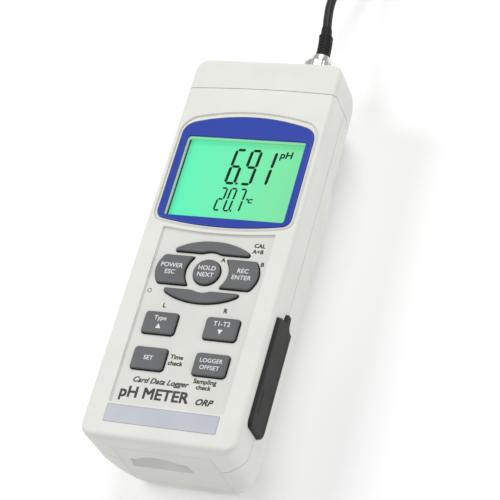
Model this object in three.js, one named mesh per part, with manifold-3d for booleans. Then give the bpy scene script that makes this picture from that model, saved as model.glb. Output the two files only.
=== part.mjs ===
// A hand-held data-logging pH meter lying on its back, with its electrode on a coiled cable.
//
// Millimetres. X is across the meter, Y runs from its bottom end to its socket end, Z is out of its face.
// Pieces are drawn with x = 0 on the centreline, y = 0 at the bottom end and z = 0 at the back.
// The last lines move the whole group so that the origin is the centre of its footprint.
import * as THREE from 'three';
import { mergeVertices } from 'three/addons/utils/BufferGeometryUtils.js';
import Module from 'manifold-3d';

const wasm = await Module();
wasm.setup();

// ---------------------------------------------------------------- driving dimensions

const BODY_LENGTH = 177;
const BODY_HALF_WIDTH = 33;
const BODY_THICKNESS = 45;
const WALL = 2.4;
const GAP = 0.3; // clearance between neighbouring pieces

const END_CORNER_RADIUS = 6; // seen from the front
const END_EDGE_RADIUS = 2.5; // seen from the side
const FACE_EDGE_RADIUS = 2;
const SIDE_WALL_FOOT = 22; // height at which the side starts to curve under
const FLAT_BACK_HALF_WIDTH = 20;
const BACK_CURVE_PULL = [29.5, 2]; // control point of the curve under each side
const UPPER_BACK_RISE = 4.5; // the upper half of the back stands off the table by this
const BACK_STEP = [120, 138]; // the back rises between these two lengths

const CAP_SEAM = 161.5; // the connector cap starts here
const PARTING_SIDE = 31; // height of the joint between the shells, along the sides
const PARTING_END = 25; // and across the bottom end

const LENS_HALF_WIDTH = 29;
const LENS_BOTTOM = 95.3;
const LENS_SHOULDER = 140;
const LENS_CROWN = 147.9;
const LENS_TOP = 45.2;
const LENS_THICKNESS = 0.9;
const LENS_OPENING = { halfWidth: 26.15, bottom: 99.3, top: 137.7 };
const SHELL_LEDGE = 0.4; // how far the shell's opening stays inside the lens's opening

const KEYPAD = { halfWidth: 24.4, bottom: 15, top: 93.9, crownDrop: 1.6, depth: 1 };
const KEY_TOP = 45.3;
const KEY_TRAVEL = 1;
const RING_CENTRE = [0, 74.7];
const RING_RADII = [22, 13.9];
const RING_BORE = 9.3;
const HOLD_KEY_RADIUS = 5.65;
const SIDE_KEY_HALF_HEIGHT = 6.5;
const ARC_KEY_FLOOR = 8.4; // where the upper and lower arcs start, from the ring's centre
const SQUARE_KEY = { x: 13.05, size: [13.9, 9.6], radius: 1.4, rows: [50.5, 34.9] };

const LABEL = { halfWidth: 23.7, bottom: 6.9, top: 14, thickness: 0.45 };

const FLAP = { from: 13.5, to: 64, low: 26, high: 41.6, inner: 32.3, outer: 34.6 };
const PORT_HEIGHT = 36.2;
const PORTS = { reset: 23, serial: 37, power: 53 };

const CARD_CENTRE = -5;
const CARD = { width: 24, length: 32, thickness: 2.1, from: 4.2, low: 24.3 };
const END_PLATE = { left: -21.5, right: 20.3, low: 5.5, high: 36, depth: 5.2 };

const CELL = { radius: 7.1, length: 50, pitch: 14.8, axisHeight: 12.2, from: 9.7, gap: 0.4 };
const TRAY = { halfWidth: 22.4, wall: 1.2, from: 6.8, to: 112.5, low: 4.6, high: 21.3 };
const COVER = { halfWidth: 23.2, from: 7, to: 108, skin: 2, earHalfWidth: 6, earTo: 118.6 };
const STAND = { halfWidth: 17, from: 41, hinge: 102, axisHeight: 1.85, thickness: 2.2, barrel: 1.5 };
const STAND_PIN = { radius: 0.8, halfLength: 20 };
const POCKET_DEPTH = 3.7;
const POCKET_SKIN = 4.9;

const CASE_SCREWS = { x: 27.5, rows: [8.6, 150], boss: 3.35, column: 3.4 };
const TRIPOD = { y: 150, bore: 3.1, radius: 5, depth: 8.5 };

const BOARD = { low: 30.6, thickness: 1.6 };
const SOCKET_HEIGHT = 24;
const PROBE_SOCKET_X = 13.3;
const TEMPERATURE_SOCKET_X = -13.3;
const SOCKET_PROUD = 11; // how far the probe socket stands out of the cap

const CABLE_DIAMETER = 4;
const BOOT_END = 209.5;
const COIL = { centre: [-8, 290], turnRadii: [20, 24, 28], height: 9 };
const ELECTRODE = { x: 33, z: 8.4, bootFrom: 283, handleFrom: 292, stemFrom: 320, tip: 398, capTo: 412 };

// ---------------------------------------------------------------- materials

function plastic(color, roughness = 0.55) {
  return new THREE.MeshStandardMaterial({ color, roughness, metalness: 0 });
}

function metal(color, roughness = 0.35) {
  return new THREE.MeshStandardMaterial({ color, roughness, metalness: 1 });
}

const shellPlastic = plastic(0xe3e4dd);
const lensBlue = plastic(0x3453a8, 0.25);
const clearPlastic = new THREE.MeshStandardMaterial({
  color: 0xe8f4f0,
  roughness: 0.05,
  transparent: true,
  opacity: 0.25,
});
const displayGreen = plastic(0x72e8b0, 0.3);
const whitePlastic = plastic(0xf2f2ee);
const keyGrey = plastic(0x70757a, 0.6);
const labelGrey = plastic(0xc5c9d1, 0.5);
const rubberBlack = plastic(0x2c2e2d, 0.8);
const boardGreen = plastic(0x1f6b45, 0.5);
const componentBlack = plastic(0x18191b, 0.45);
const nickel = metal(0xd6d8da);
const steel = metal(0xb9bcc0);
const brass = metal(0xc9a45a);
const cellWrap = plastic(0x3d6f9e, 0.4);
const electrodeBody = plastic(0x2a4d86, 0.35);

// ---------------------------------------------------------------- solids and booleans

function solid(geometry) {
  const bare = geometry.index ? geometry.toNonIndexed() : geometry.clone();
  bare.deleteAttribute('normal');
  bare.deleteAttribute('uv');
  const merged = mergeVertices(bare, 1e-4);
  return new wasm.Manifold(
    new wasm.Mesh({
      numProp: 3,
      vertProperties: new Float32Array(merged.attributes.position.array),
      triVerts: new Uint32Array(merged.index.array),
    })
  );
}

function geometryOf(manifold) {
  const mesh = manifold.getMesh();
  const geometry = new THREE.BufferGeometry();
  geometry.setAttribute('position', new THREE.BufferAttribute(new Float32Array(mesh.vertProperties), 3));
  geometry.setIndex(new THREE.BufferAttribute(new Uint32Array(mesh.triVerts), 1));
  geometry.computeVertexNormals();
  return geometry;
}

function joined(...parts) {
  return parts.reduce((whole, part) => whole.add(part));
}

function cut(whole, ...tools) {
  return tools.reduce((rest, tool) => rest.subtract(tool), whole);
}

function block(x0, x1, y0, y1, z0, z1) {
  const geometry = new THREE.BoxGeometry(x1 - x0, y1 - y0, z1 - z0);
  geometry.translate((x0 + x1) / 2, (y0 + y1) / 2, (z0 + z1) / 2);
  return solid(geometry);
}

// A flat outline seen from the front, from height z0 to z1.
function plate(outline, z0, z1, curveSegments = 6) {
  const geometry = new THREE.ExtrudeGeometry(outline, { depth: z1 - z0, bevelEnabled: false, curveSegments });
  geometry.translate(0, 0, z0);
  return solid(geometry);
}

// An outline given in X and Z, run along Y from y0 to y1.
function bar(points, y0, y1) {
  const outline = new THREE.Shape(points.map(([x, z]) => new THREE.Vector2(x, -z)));
  const geometry = new THREE.ExtrudeGeometry(outline, { depth: y1 - y0, bevelEnabled: false });
  geometry.rotateX(-Math.PI / 2);
  geometry.translate(0, y0, 0);
  return solid(geometry);
}

// An outline given in Y and Z, run along X from x0 to x1.
function rail(points, x0, x1) {
  const outline = new THREE.Shape(points.map(([y, z]) => new THREE.Vector2(y, z)));
  const geometry = new THREE.ExtrudeGeometry(outline, { depth: x1 - x0, bevelEnabled: false });
  geometry.rotateY(Math.PI / 2);
  geometry.rotateX(Math.PI / 2);
  geometry.translate(x0, 0, 0);
  return solid(geometry);
}

function post(x, y, z0, z1, radius, sides = 16) {
  const geometry = new THREE.CylinderGeometry(radius, radius, z1 - z0, sides);
  geometry.rotateX(Math.PI / 2);
  geometry.translate(x, y, (z0 + z1) / 2);
  return solid(geometry);
}

function rodAlongX(x0, x1, y, z, radius, sides = 16) {
  const geometry = new THREE.CylinderGeometry(radius, radius, x1 - x0, sides);
  geometry.rotateZ(Math.PI / 2);
  geometry.translate((x0 + x1) / 2, y, z);
  return solid(geometry);
}

function rodAlongY(x, z, y0, y1, radius, sides = 20) {
  const geometry = new THREE.CylinderGeometry(radius, radius, y1 - y0, sides);
  geometry.translate(x, (y0 + y1) / 2, z);
  return solid(geometry);
}

// A turned piece on an axis along Y. The profile is a list of [radius, y].
function turned(profile, x, z, sides = 16) {
  const points = profile.map(([radius, y]) => new THREE.Vector2(radius, y));
  const geometry = new THREE.LatheGeometry(points, sides);
  geometry.translate(x, 0, z);
  return solid(geometry);
}

function roundedRectangle(x, y, width, height, radius) {
  const left = x - width / 2;
  const low = y - height / 2;
  const outline = new THREE.Shape();
  outline.moveTo(left + radius, low);
  outline.lineTo(left + width - radius, low);
  outline.absarc(left + width - radius, low + radius, radius, -Math.PI / 2, 0);
  outline.lineTo(left + width, low + height - radius);
  outline.absarc(left + width - radius, low + height - radius, radius, 0, Math.PI / 2);
  outline.lineTo(left + radius, low + height);
  outline.absarc(left + radius, low + height - radius, radius, Math.PI / 2, Math.PI);
  outline.lineTo(left, low + radius);
  outline.absarc(left + radius, low + radius, radius, Math.PI, 1.5 * Math.PI);
  return outline;
}

// ---------------------------------------------------------------- the case's outer and inner forms

// How far a rounded end has drawn in at a distance from that end.
function roundOff(distance, radius) {
  if (distance >= radius) {
    return 0;
  }
  return radius - Math.sqrt(radius * radius - (radius - distance) ** 2);
}

function backHeight(y) {
  const t = THREE.MathUtils.clamp((y - BACK_STEP[0]) / (BACK_STEP[1] - BACK_STEP[0]), 0, 1);
  return UPPER_BACK_RISE * t * t * (3 - 2 * t);
}

// One closed section of the case, as [x, z] points, drawn in by inset from the outer surface.
function section(y, inset) {
  const ends = [y, BODY_LENGTH - y];
  const narrowing = Math.max(...ends.map((distance) => roundOff(distance, END_CORNER_RADIUS)));
  const thinning = Math.max(...ends.map((distance) => roundOff(distance, END_EDGE_RADIUS)));
  const half = BODY_HALF_WIDTH - narrowing - inset;
  const face = BODY_THICKNESS - thinning - inset;
  const back = backHeight(y) + thinning + inset;
  const foot = backHeight(y) + SIDE_WALL_FOOT;
  const pull = half - (BODY_HALF_WIDTH - BACK_CURVE_PULL[0]);
  const flat = FLAT_BACK_HALF_WIDTH - narrowing - inset / 2;
  const edge = Math.max(FACE_EDGE_RADIUS - inset, 0.4);
  const right = [];
  const edgeSteps = 4;
  for (let i = 0; i <= edgeSteps; i++) {
    const angle = Math.PI / 2 - (i / edgeSteps) * (Math.PI / 2);
    right.push([half - edge + edge * Math.cos(angle), face - edge + edge * Math.sin(angle)]);
  }
  const curve = new THREE.QuadraticBezierCurve(
    new THREE.Vector2(half, foot),
    new THREE.Vector2(pull, back + BACK_CURVE_PULL[1]),
    new THREE.Vector2(flat, back)
  );
  for (const point of curve.getPoints(6)) {
    right.push([point.x, point.y]);
  }
  const left = right.map(([x, z]) => [-x, z]).reverse();
  return right.concat(left);
}

// A closed skin through the sections at the lengths given.
function caseForm(lengths, inset) {
  const rings = lengths.map((y) => section(y, inset).map(([x, z]) => [x, y, z]));
  const count = rings[0].length;
  const positions = rings.flat(2);
  const index = [];
  for (let ring = 0; ring + 1 < rings.length; ring++) {
    for (let i = 0; i < count; i++) {
      const a = ring * count + i;
      const b = ring * count + ((i + 1) % count);
      index.push(a, b, a + count, b, b + count, a + count);
    }
  }
  const outline = rings[0].map(([x, , z]) => new THREE.Vector2(x, z));
  for (const [a, b, c] of THREE.ShapeUtils.triangulateShape(outline, [])) {
    const last = (rings.length - 1) * count;
    index.push(a, b, c, last + a, last + c, last + b);
  }
  const geometry = new THREE.BufferGeometry();
  geometry.setAttribute('position', new THREE.Float32BufferAttribute(positions, 3));
  geometry.setIndex(index);
  const form = solid(geometry);
  if (form.volume() < 0) {
    throw new Error('the case form is inside out');
  }
  return form;
}

const stepLengths = [0, 0.2, 0.4, 0.6, 0.8, 1].map((t) => THREE.MathUtils.lerp(...BACK_STEP, t));
const startLengths = [0, 0.5, 1.3, 2.5, 4, 6];
const endLengths = startLengths.map((y) => BODY_LENGTH - y).reverse();
const outerForm = caseForm([...startLengths, ...stepLengths, ...endLengths], 0);
const innerEndLengths = [6, 4, WALL].map((y) => BODY_LENGTH - y);
const innerForm = caseForm([WALL, 4, 6, ...stepLengths, ...innerEndLengths], WALL);

// The space above the joint between the shells. lift moves the joint up or down.
function aboveParting(lift) {
  const wide = 40;
  return bar(
    [
      [-wide, PARTING_SIDE + lift],
      [-31, PARTING_SIDE + lift],
      [-22, PARTING_END + lift],
      [22, PARTING_END + lift],
      [31, PARTING_SIDE + lift],
      [wide, PARTING_SIDE + lift],
      [wide, 60],
      [-wide, 60],
    ],
    -1,
    CAP_SEAM - GAP / 2
  );
}

function belowCap(y0, y1) {
  return block(-40, 40, y0, y1, -5, 60);
}

// ---------------------------------------------------------------- outlines on the face

// The display lens: straight sides, an arched top and a slightly bowed lower edge.
function lensOutline(grow) {
  const half = LENS_HALF_WIDTH + grow;
  const low = LENS_BOTTOM + 2.2 - grow;
  const dip = LENS_BOTTOM - grow;
  const shoulder = LENS_SHOULDER;
  const crown = LENS_CROWN + grow;
  const corner = 3.6 + grow;
  const outline = new THREE.Shape();
  outline.moveTo(-half + corner, low);
  outline.quadraticCurveTo(0, 2 * dip - low, half - corner, low);
  outline.quadraticCurveTo(half, low + 0.6, half, low + corner + 0.6);
  outline.lineTo(half, shoulder - 2);
  outline.quadraticCurveTo(half, shoulder + 3.4, half - 5.5, shoulder + 4.6 + grow);
  outline.quadraticCurveTo(0, 2 * crown - shoulder - 4.6, -half + 5.5, shoulder + 4.6 + grow);
  outline.quadraticCurveTo(-half, shoulder + 3.4, -half, shoulder - 2);
  outline.lineTo(-half, low + corner + 0.6);
  outline.quadraticCurveTo(-half, low + 0.6, -half + corner, low);
  return outline;
}

function openingOutline(grow) {
  const { halfWidth, bottom, top } = LENS_OPENING;
  const width = 2 * (halfWidth + grow);
  const height = top - bottom + 2 * grow;
  return roundedRectangle(0, (bottom + top) / 2, width, height, 1);
}

function keypadOutline() {
  const { halfWidth, bottom, top, crownDrop } = KEYPAD;
  const outline = new THREE.Shape();
  outline.moveTo(-halfWidth + 0.4, bottom);
  outline.lineTo(halfWidth - 0.4, bottom);
  outline.lineTo(halfWidth, top);
  outline.quadraticCurveTo(0, top - 2 * crownDrop, -halfWidth, top);
  return outline;
}

// ---------------------------------------------------------------- keys

function ringForm(grow, z0, z1) {
  const [cx, cy] = RING_CENTRE;
  const oval = new THREE.Shape();
  oval.absellipse(cx, cy, RING_RADII[0] + grow, RING_RADII[1] + grow, 0, 2 * Math.PI);
  return plate(oval, z0, z1, 32).subtract(post(cx, cy, z0 - 1, z1 + 1, RING_BORE - grow, 24));
}

const keyForms = {
  key_power: (grow, z0, z1) => sideKey(-1, grow, z0, z1),
  key_record: (grow, z0, z1) => sideKey(1, grow, z0, z1),
  key_hold: (grow, z0, z1) => post(...RING_CENTRE, z0, z1, HOLD_KEY_RADIUS + grow, 20),
  key_arc_upper: (grow, z0, z1) => arcKey(1, grow, z0, z1),
  key_arc_lower: (grow, z0, z1) => arcKey(-1, grow, z0, z1),
  key_type: (grow, z0, z1) => squareKey(-1, 0, grow, z0, z1),
  key_channel: (grow, z0, z1) => squareKey(1, 0, grow, z0, z1),
  key_set: (grow, z0, z1) => squareKey(-1, 1, grow, z0, z1),
  key_logger: (grow, z0, z1) => squareKey(1, 1, grow, z0, z1),
};

function sideKey(side, grow, z0, z1) {
  const [cx, cy] = RING_CENTRE;
  const half = SIDE_KEY_HALF_HEIGHT + grow;
  const near = cx + side * (RING_BORE - 2.3 - grow);
  const far = cx + side * 30;
  return ringForm(grow, z0, z1).intersect(
    block(Math.min(near, far), Math.max(near, far), cy - half, cy + half, z0 - 1, z1 + 1)
  );
}

function arcKey(side, grow, z0, z1) {
  const [cx, cy] = RING_CENTRE;
  const near = cy + side * (ARC_KEY_FLOOR - grow);
  const far = cy + side * 30;
  const half = 15.8 + grow;
  return ringForm(grow, z0, z1).intersect(
    block(cx - half, cx + half, Math.min(near, far), Math.max(near, far), z0 - 1, z1 + 1)
  );
}

function squareKey(side, row, grow, z0, z1) {
  const [width, height] = SQUARE_KEY.size;
  const outline = roundedRectangle(
    side * SQUARE_KEY.x,
    SQUARE_KEY.rows[row],
    width + 2 * grow,
    height + 2 * grow,
    SQUARE_KEY.radius
  );
  return plate(outline, z0, z1, 3);
}

// ---------------------------------------------------------------- the group

const meter = new THREE.Group();

function piece(name, shape, material) {
  const mesh = new THREE.Mesh(shape.isBufferGeometry ? shape : geometryOf(shape), material);
  mesh.name = name;
  meter.add(mesh);
}

// ---------------------------------------------------------------- shells

const KEYPAD_FLOOR = BODY_THICKNESS - KEYPAD.depth;
const SHELL_INSIDE = BODY_THICKNESS - WALL;
const LENS_SEAT = LENS_TOP - LENS_THICKNESS - 0.2;
const FLAP_REBATE = BODY_HALF_WIDTH - 1;
const LABEL_TOP = BODY_THICKNESS + 0.05;

function endPlateSpace(grow) {
  const { left, right, low, high, depth } = END_PLATE;
  return block(left - grow, right + grow, -1, depth + grow, low - grow, high + grow);
}

function flapSpace() {
  const { from, to, low, high } = FLAP;
  const width = 40;
  return block(FLAP_REBATE, width, from - GAP, to + 1.2 + GAP, low - GAP, high + GAP);
}

function portHoles() {
  return joined(
    rodAlongX(29, 34, PORTS.reset, PORT_HEIGHT, 1.6, 12),
    rodAlongX(29, 34, PORTS.serial, PORT_HEIGHT, 3.3, 20),
    rodAlongX(29, 34, PORTS.power, PORT_HEIGHT, 4.3, 20)
  );
}

// The floor of a case screw's counterbore in the rear shell.
function screwSeat(y) {
  return backHeight(y) + 12;
}

// A post at each case screw. top is a height, or a function that gives it for a row.
function screwPosts(bottom, top, radius, sides) {
  return CASE_SCREWS.rows.flatMap((y) => {
    const high = typeof top === 'function' ? top(y) : top;
    return [-1, 1].map((side) => post(side * CASE_SCREWS.x, y, bottom, high, radius, sides));
  });
}

function frontShell() {
  const skin = outerForm.subtract(innerForm).intersect(aboveParting(GAP / 2));
  const bosses = screwPosts(PARTING_SIDE + 0.7, SHELL_INSIDE + 0.5, CASE_SCREWS.boss, 14);
  const pilots = screwPosts(PARTING_SIDE, SHELL_INSIDE - 1, 1.5, 10);
  const labelHalf = LABEL.halfWidth + GAP;
  const labelFloor = LABEL_TOP - LABEL.thickness - GAP;
  const keyHoles = Object.values(keyForms).map((form) => form(GAP, SHELL_INSIDE - 1, BODY_THICKNESS + 1));
  return cut(
    joined(skin, ...bosses.map((boss) => boss.intersect(outerForm))),
    ...pilots,
    plate(lensOutline(GAP), LENS_SEAT, BODY_THICKNESS + 2),
    plate(openingOutline(-SHELL_LEDGE), SHELL_INSIDE - 1, BODY_THICKNESS, 3),
    plate(keypadOutline(), KEYPAD_FLOOR, BODY_THICKNESS + 1, 12),
    ...keyHoles,
    block(-labelHalf, labelHalf, LABEL.bottom - GAP, LABEL.top + GAP, labelFloor, LABEL_TOP + 1),
    flapSpace(),
    portHoles(),
    endPlateSpace(GAP)
  );
}

function coverSpace(grow) {
  const { halfWidth, from, to, earHalfWidth, earTo } = COVER;
  return joined(
    block(-halfWidth - grow, halfWidth + grow, from - grow, to + grow, -1, 8),
    block(-earHalfWidth - grow, earHalfWidth + grow, to - 1, earTo + grow, -1, COVER.skin + grow)
  );
}

function rearShell() {
  const below = belowCap(-1, CAP_SEAM - GAP / 2).subtract(aboveParting(-GAP / 2));
  const skin = outerForm.subtract(innerForm).intersect(below);
  const columns = screwPosts(0, PARTING_SIDE - 0.6, CASE_SCREWS.column, 14);
  const shanks = screwPosts(-1, PARTING_SIDE, 1.8, 10);
  const heads = screwPosts(-1, screwSeat, 2.6, 14);
  const latchSeat = block(-8, 8, COVER.to + 1.1, BACK_STEP[0] - 0.7, COVER.skin + 0.1, COVER.skin + 2);
  const nutTop = UPPER_BACK_RISE + TRIPOD.depth;
  const tripodBoss = post(0, TRIPOD.y, UPPER_BACK_RISE, nutTop + 3, TRIPOD.radius + 2, 20);
  const bare = joined(skin, latchSeat, ...columns, tripodBoss).intersect(outerForm);
  return cut(
    bare,
    ...shanks,
    ...heads,
    coverSpace(GAP),
    post(0, TRIPOD.y, -1, UPPER_BACK_RISE + 2, TRIPOD.bore + 0.3, 20),
    post(0, TRIPOD.y, UPPER_BACK_RISE + 1.2, nutTop + 4, TRIPOD.radius + GAP, 20),
    flapSpace(),
    endPlateSpace(GAP)
  );
}

function topCap() {
  const shell = outerForm.subtract(innerForm).intersect(belowCap(CAP_SEAM + GAP / 2, BODY_LENGTH + 1));
  return cut(
    shell,
    rodAlongY(PROBE_SOCKET_X, SOCKET_HEIGHT, 170, 180, 5.1),
    rodAlongY(TEMPERATURE_SOCKET_X, SOCKET_HEIGHT, 170, 180, 3.3)
  );
}

// The arched thumb scoop in the end plate, with the card's slot at its deepest line.
function thumbScoop() {
  const ramp = rail(
    [
      [-2, 17],
      [3.6, 23.9],
      [3.6, 27],
      [-2, 32.4],
    ],
    CARD_CENTRE - 14,
    CARD_CENTRE + 14
  );
  const arch = new THREE.Shape();
  arch.moveTo(-13, 14);
  arch.lineTo(13, 14);
  arch.lineTo(13, 23);
  arch.quadraticCurveTo(0, 37.6, -13, 23);
  const points = arch.getPoints(8).map((point) => [CARD_CENTRE + point.x, point.y]);
  return ramp.intersect(bar(points, -3, 5));
}

function cardSlot(y0, y1) {
  const half = CARD.width / 2 + GAP;
  const high = CARD.low + CARD.thickness;
  return block(CARD_CENTRE - half, CARD_CENTRE + half, y0, y1, CARD.low - GAP, high + GAP);
}

function endPlate() {
  const { low, high } = END_PLATE;
  return cut(
    outerForm.intersect(block(END_PLATE.left, END_PLATE.right, -1, END_PLATE.depth, low, high)),
    thumbScoop(),
    cardSlot(-1, 6)
  );
}

piece('front_shell', frontShell(), shellPlastic);
piece('rear_shell', rearShell(), shellPlastic);
piece('top_cap', topCap(), shellPlastic);
piece('end_plate', endPlate(), shellPlastic);

// ---------------------------------------------------------------- display

const displayY = (LENS_OPENING.bottom + LENS_OPENING.top) / 2;

piece(
  'display_bezel',
  plate(lensOutline(0), LENS_TOP - LENS_THICKNESS, LENS_TOP).subtract(plate(openingOutline(0), 40, 50, 3)),
  lensBlue
);
piece('display_window', plate(openingOutline(-GAP), 44.4, 45.1, 3), clearPlastic);
piece('lcd_glass', block(-28, 28, displayY - 21, displayY + 21, 40.1, 42.2), displayGreen);
piece('backlight', block(-27, 27, displayY - 20, displayY + 20, 36.8, 39.8), whitePlastic);
piece(
  'lcd_frame',
  block(-29.4, 29.4, displayY - 22.6, displayY + 22.6, 34.5, 42).subtract(
    block(-28.3, 28.3, displayY - 21.3, displayY + 21.3, 36.5, 44)
  ),
  componentBlack
);

// ---------------------------------------------------------------- keypad

const FLANGE_LOW = 41;
const FLANGE_TOP = SHELL_INSIDE - GAP;
const MAT_TOP = FLANGE_LOW - KEY_TRAVEL - GAP;

for (const [name, form] of Object.entries(keyForms)) {
  const cap = form(0, FLANGE_LOW, KEY_TOP);
  const flange = form(0.6, FLANGE_LOW, FLANGE_TOP);
  piece(name, cap.add(flange), keyGrey);
}
piece('keypad_mat', plate(roundedRectangle(0, 56, 48.4, 70, 2), MAT_TOP - 1.2, MAT_TOP, 3), rubberBlack);
piece('keypad_board', block(-24.4, 24.4, 22, 91, MAT_TOP - 3.1, MAT_TOP - 1.5), boardGreen);
piece(
  'label_plate',
  block(-LABEL.halfWidth, LABEL.halfWidth, LABEL.bottom, LABEL.top, LABEL_TOP - LABEL.thickness, LABEL_TOP),
  labelGrey
);

// ---------------------------------------------------------------- electronics

const BOARD_TOP = BOARD.low + BOARD.thickness;
const boardOutline = new THREE.Shape(
  [
    [-22.5, 6],
    [22.5, 6],
    [22.5, 13],
    [28.5, 13],
    [28.5, 145],
    [-28.5, 145],
    [-28.5, 13],
    [-22.5, 13],
  ].map(([x, y]) => new THREE.Vector2(x, y))
);

piece('main_board', plate(boardOutline, BOARD.low, BOARD_TOP), boardGreen);
piece('microcontroller', block(-17, -3, 50, 64, BOARD_TOP + GAP, BOARD_TOP + 2), componentBlack);
piece('buzzer', post(-18, 34, BOARD_TOP + GAP, BOARD_TOP + 4, 4.5, 20), componentBlack);
piece(
  'card_socket',
  block(CARD_CENTRE - 14, CARD_CENTRE + 14, 6, 35, CARD.low - 1, BOARD.low - GAP).subtract(
    cardSlot(5, 36)
  ),
  steel
);

function memoryCard() {
  const half = CARD.width / 2;
  const outline = new THREE.Shape(
    [
      [-half, CARD.from],
      [half, CARD.from],
      [half, CARD.from + CARD.length - 4],
      [half - 4, CARD.from + CARD.length],
      [-half, CARD.from + CARD.length],
    ].map(([x, y]) => new THREE.Vector2(CARD_CENTRE + x, y))
  );
  return plate(outline, CARD.low, CARD.low + CARD.thickness);
}

piece('memory_card', memoryCard(), componentBlack);

// A round jack on the board's right edge that faces out through the side wall.
function sideJack(y, radius, bore, length) {
  const bodyHalf = radius + 0.4;
  return cut(
    joined(
      block(31.6 - length, 29.6, y - bodyHalf, y + bodyHalf, BOARD_TOP + GAP, PORT_HEIGHT + radius),
      rodAlongX(29, 31.6, y, PORT_HEIGHT, radius - GAP, 20)
    ),
    rodAlongX(33 - length, 33, y, PORT_HEIGHT, bore, 14)
  );
}

piece('serial_jack', sideJack(PORTS.serial, 3.2, 1.8, 6.6), componentBlack);
piece(
  'power_jack',
  joined(sideJack(PORTS.power, 4.2, 2.9, 6.6), rodAlongX(26, 31, PORTS.power, PORT_HEIGHT, 1, 12)),
  componentBlack
);
piece(
  'reset_switch',
  block(25, 29, PORTS.reset - 3, PORTS.reset + 3, BOARD_TOP + GAP, PORT_HEIGHT + 3),
  componentBlack
);
piece('reset_button', rodAlongX(29.9, 31.8, PORTS.reset, PORT_HEIGHT, 1.2, 12), lensBlue);

// ---------------------------------------------------------------- rubber flap over the side ports

function portFlap() {
  const { from, to, low, high, inner, outer } = FLAP;
  const outline = [
    [from + 1.8, low + 0.6],
    [from + 4, low],
    [to - 3, low],
    [to - 0.6, low + 3],
    [to + 1, low + 4.4],
    [to + 1, low + 7.6],
    [to - 2.6, low + 8.4],
    [to - 3.2, high - 1.6],
    [to - 4.2, high],
    [from + 1.4, high],
    [from, high - 1.4],
    [from, low + 2.6],
  ];
  return rail(outline, inner, outer);
}

piece('port_flap', portFlap(), rubberBlack);

// ---------------------------------------------------------------- batteries

const trayForm = caseForm([WALL + 1, ...stepLengths, BODY_LENGTH - 6], WALL + 0.4);
const trayOuter = TRAY.halfWidth + TRAY.wall;
const trayEnd = TRAY.to - TRAY.wall;
piece(
  'battery_tray',
  block(-trayOuter, trayOuter, TRAY.from, TRAY.to, TRAY.low, TRAY.high)
    .intersect(trayForm)
    .subtract(
      block(-TRAY.halfWidth, TRAY.halfWidth, TRAY.from + TRAY.wall, trayEnd, 0, TRAY.high - TRAY.wall)
    ),
  whitePlastic
);
const cellStart = (row) => CELL.from + row * (CELL.length + CELL.gap);
for (let row = 0; row < 2; row++) {
  for (let column = -1; column <= 1; column++) {
    const flip = column === 0 ? -1 : 1;
    const middle = cellStart(row) + CELL.length / 2;
    const half = CELL.length / 2;
    const profile = [
      [0, -half],
      [CELL.radius, -half],
      [CELL.radius, half - 1.4],
      [2.7, half - 1.4],
      [2.7, half],
      [0, half],
    ].map(([radius, y]) => [radius, middle + y]);
    const cell = turned(profile, 0, 0, 14);
    const turnedCell = flip > 0 ? cell : cell.mirror([0, 1, 0]).translate([0, 2 * middle, 0]);
    piece(
      `battery_${row * 3 + column + 2}`,
      turnedCell.translate([column * CELL.pitch, 0, CELL.axisHeight]),
      cellWrap
    );
  }
}
piece('contact_plate_lower', block(-21.5, 21.5, 8.4, 9.2, 6.5, 18), nickel);
piece('contact_plate_upper', block(-21.5, 21.5, 110.4, 111, 6.5, 18), nickel);

// ---------------------------------------------------------------- battery cover and stand

function standSpace(grow) {
  const half = STAND.halfWidth + grow;
  return block(-half, half, STAND.from - grow, STAND.hinge + STAND.barrel + grow, -1, POCKET_DEPTH);
}

function batteryCover() {
  const { halfWidth, from, to, skin, earHalfWidth, earTo } = COVER;
  const pocketHalf = STAND_PIN.halfLength + 1.2;
  const boreHalf = STAND_PIN.halfLength + GAP;
  const plateForm = joined(
    block(-halfWidth, halfWidth, from, to, -1, skin),
    block(-earHalfWidth, earHalfWidth, to - 1, earTo, -1, skin),
    block(-pocketHalf, pocketHalf, STAND.from - 2, STAND.hinge + 4, 0, POCKET_SKIN)
  ).intersect(outerForm);
  const sides = block(-halfWidth, halfWidth, from, to, -1, 4).intersect(outerForm).subtract(innerForm);
  const tabs = [-14, 14].map((x) => block(x - 3, x + 3, from - 1.4, from + 3, WALL + GAP, WALL + 1.6));
  const tabRoots = [-14, 14].map((x) => block(x - 3, x + 3, from + 0.4, from + 3, 1, WALL + 1.6));
  return cut(
    joined(plateForm, sides, ...tabs, ...tabRoots),
    standSpace(0.4),
    rodAlongX(-boreHalf, boreHalf, STAND.hinge, STAND.axisHeight, STAND_PIN.radius + GAP)
  );
}

piece('battery_cover', batteryCover(), shellPlastic);

function stand() {
  const { halfWidth, from, hinge, axisHeight, thickness, barrel } = STAND;
  const leaf = block(-halfWidth, halfWidth, from, hinge, 0.35, 0.35 + thickness);
  const nailNotch = block(-7, 7, from - 1, from + 2.2, -1, 5);
  return cut(
    joined(leaf.subtract(nailNotch), rodAlongX(-halfWidth, halfWidth, hinge, axisHeight, barrel, 20)),
    rodAlongX(-halfWidth - 1, halfWidth + 1, hinge, axisHeight, STAND_PIN.radius + 0.25, 16)
  );
}

piece('stand', stand(), shellPlastic);
piece(
  'stand_pin',
  rodAlongX(-STAND_PIN.halfLength, STAND_PIN.halfLength, STAND.hinge, STAND.axisHeight, STAND_PIN.radius, 12),
  steel
);

// ---------------------------------------------------------------- fasteners

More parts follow.
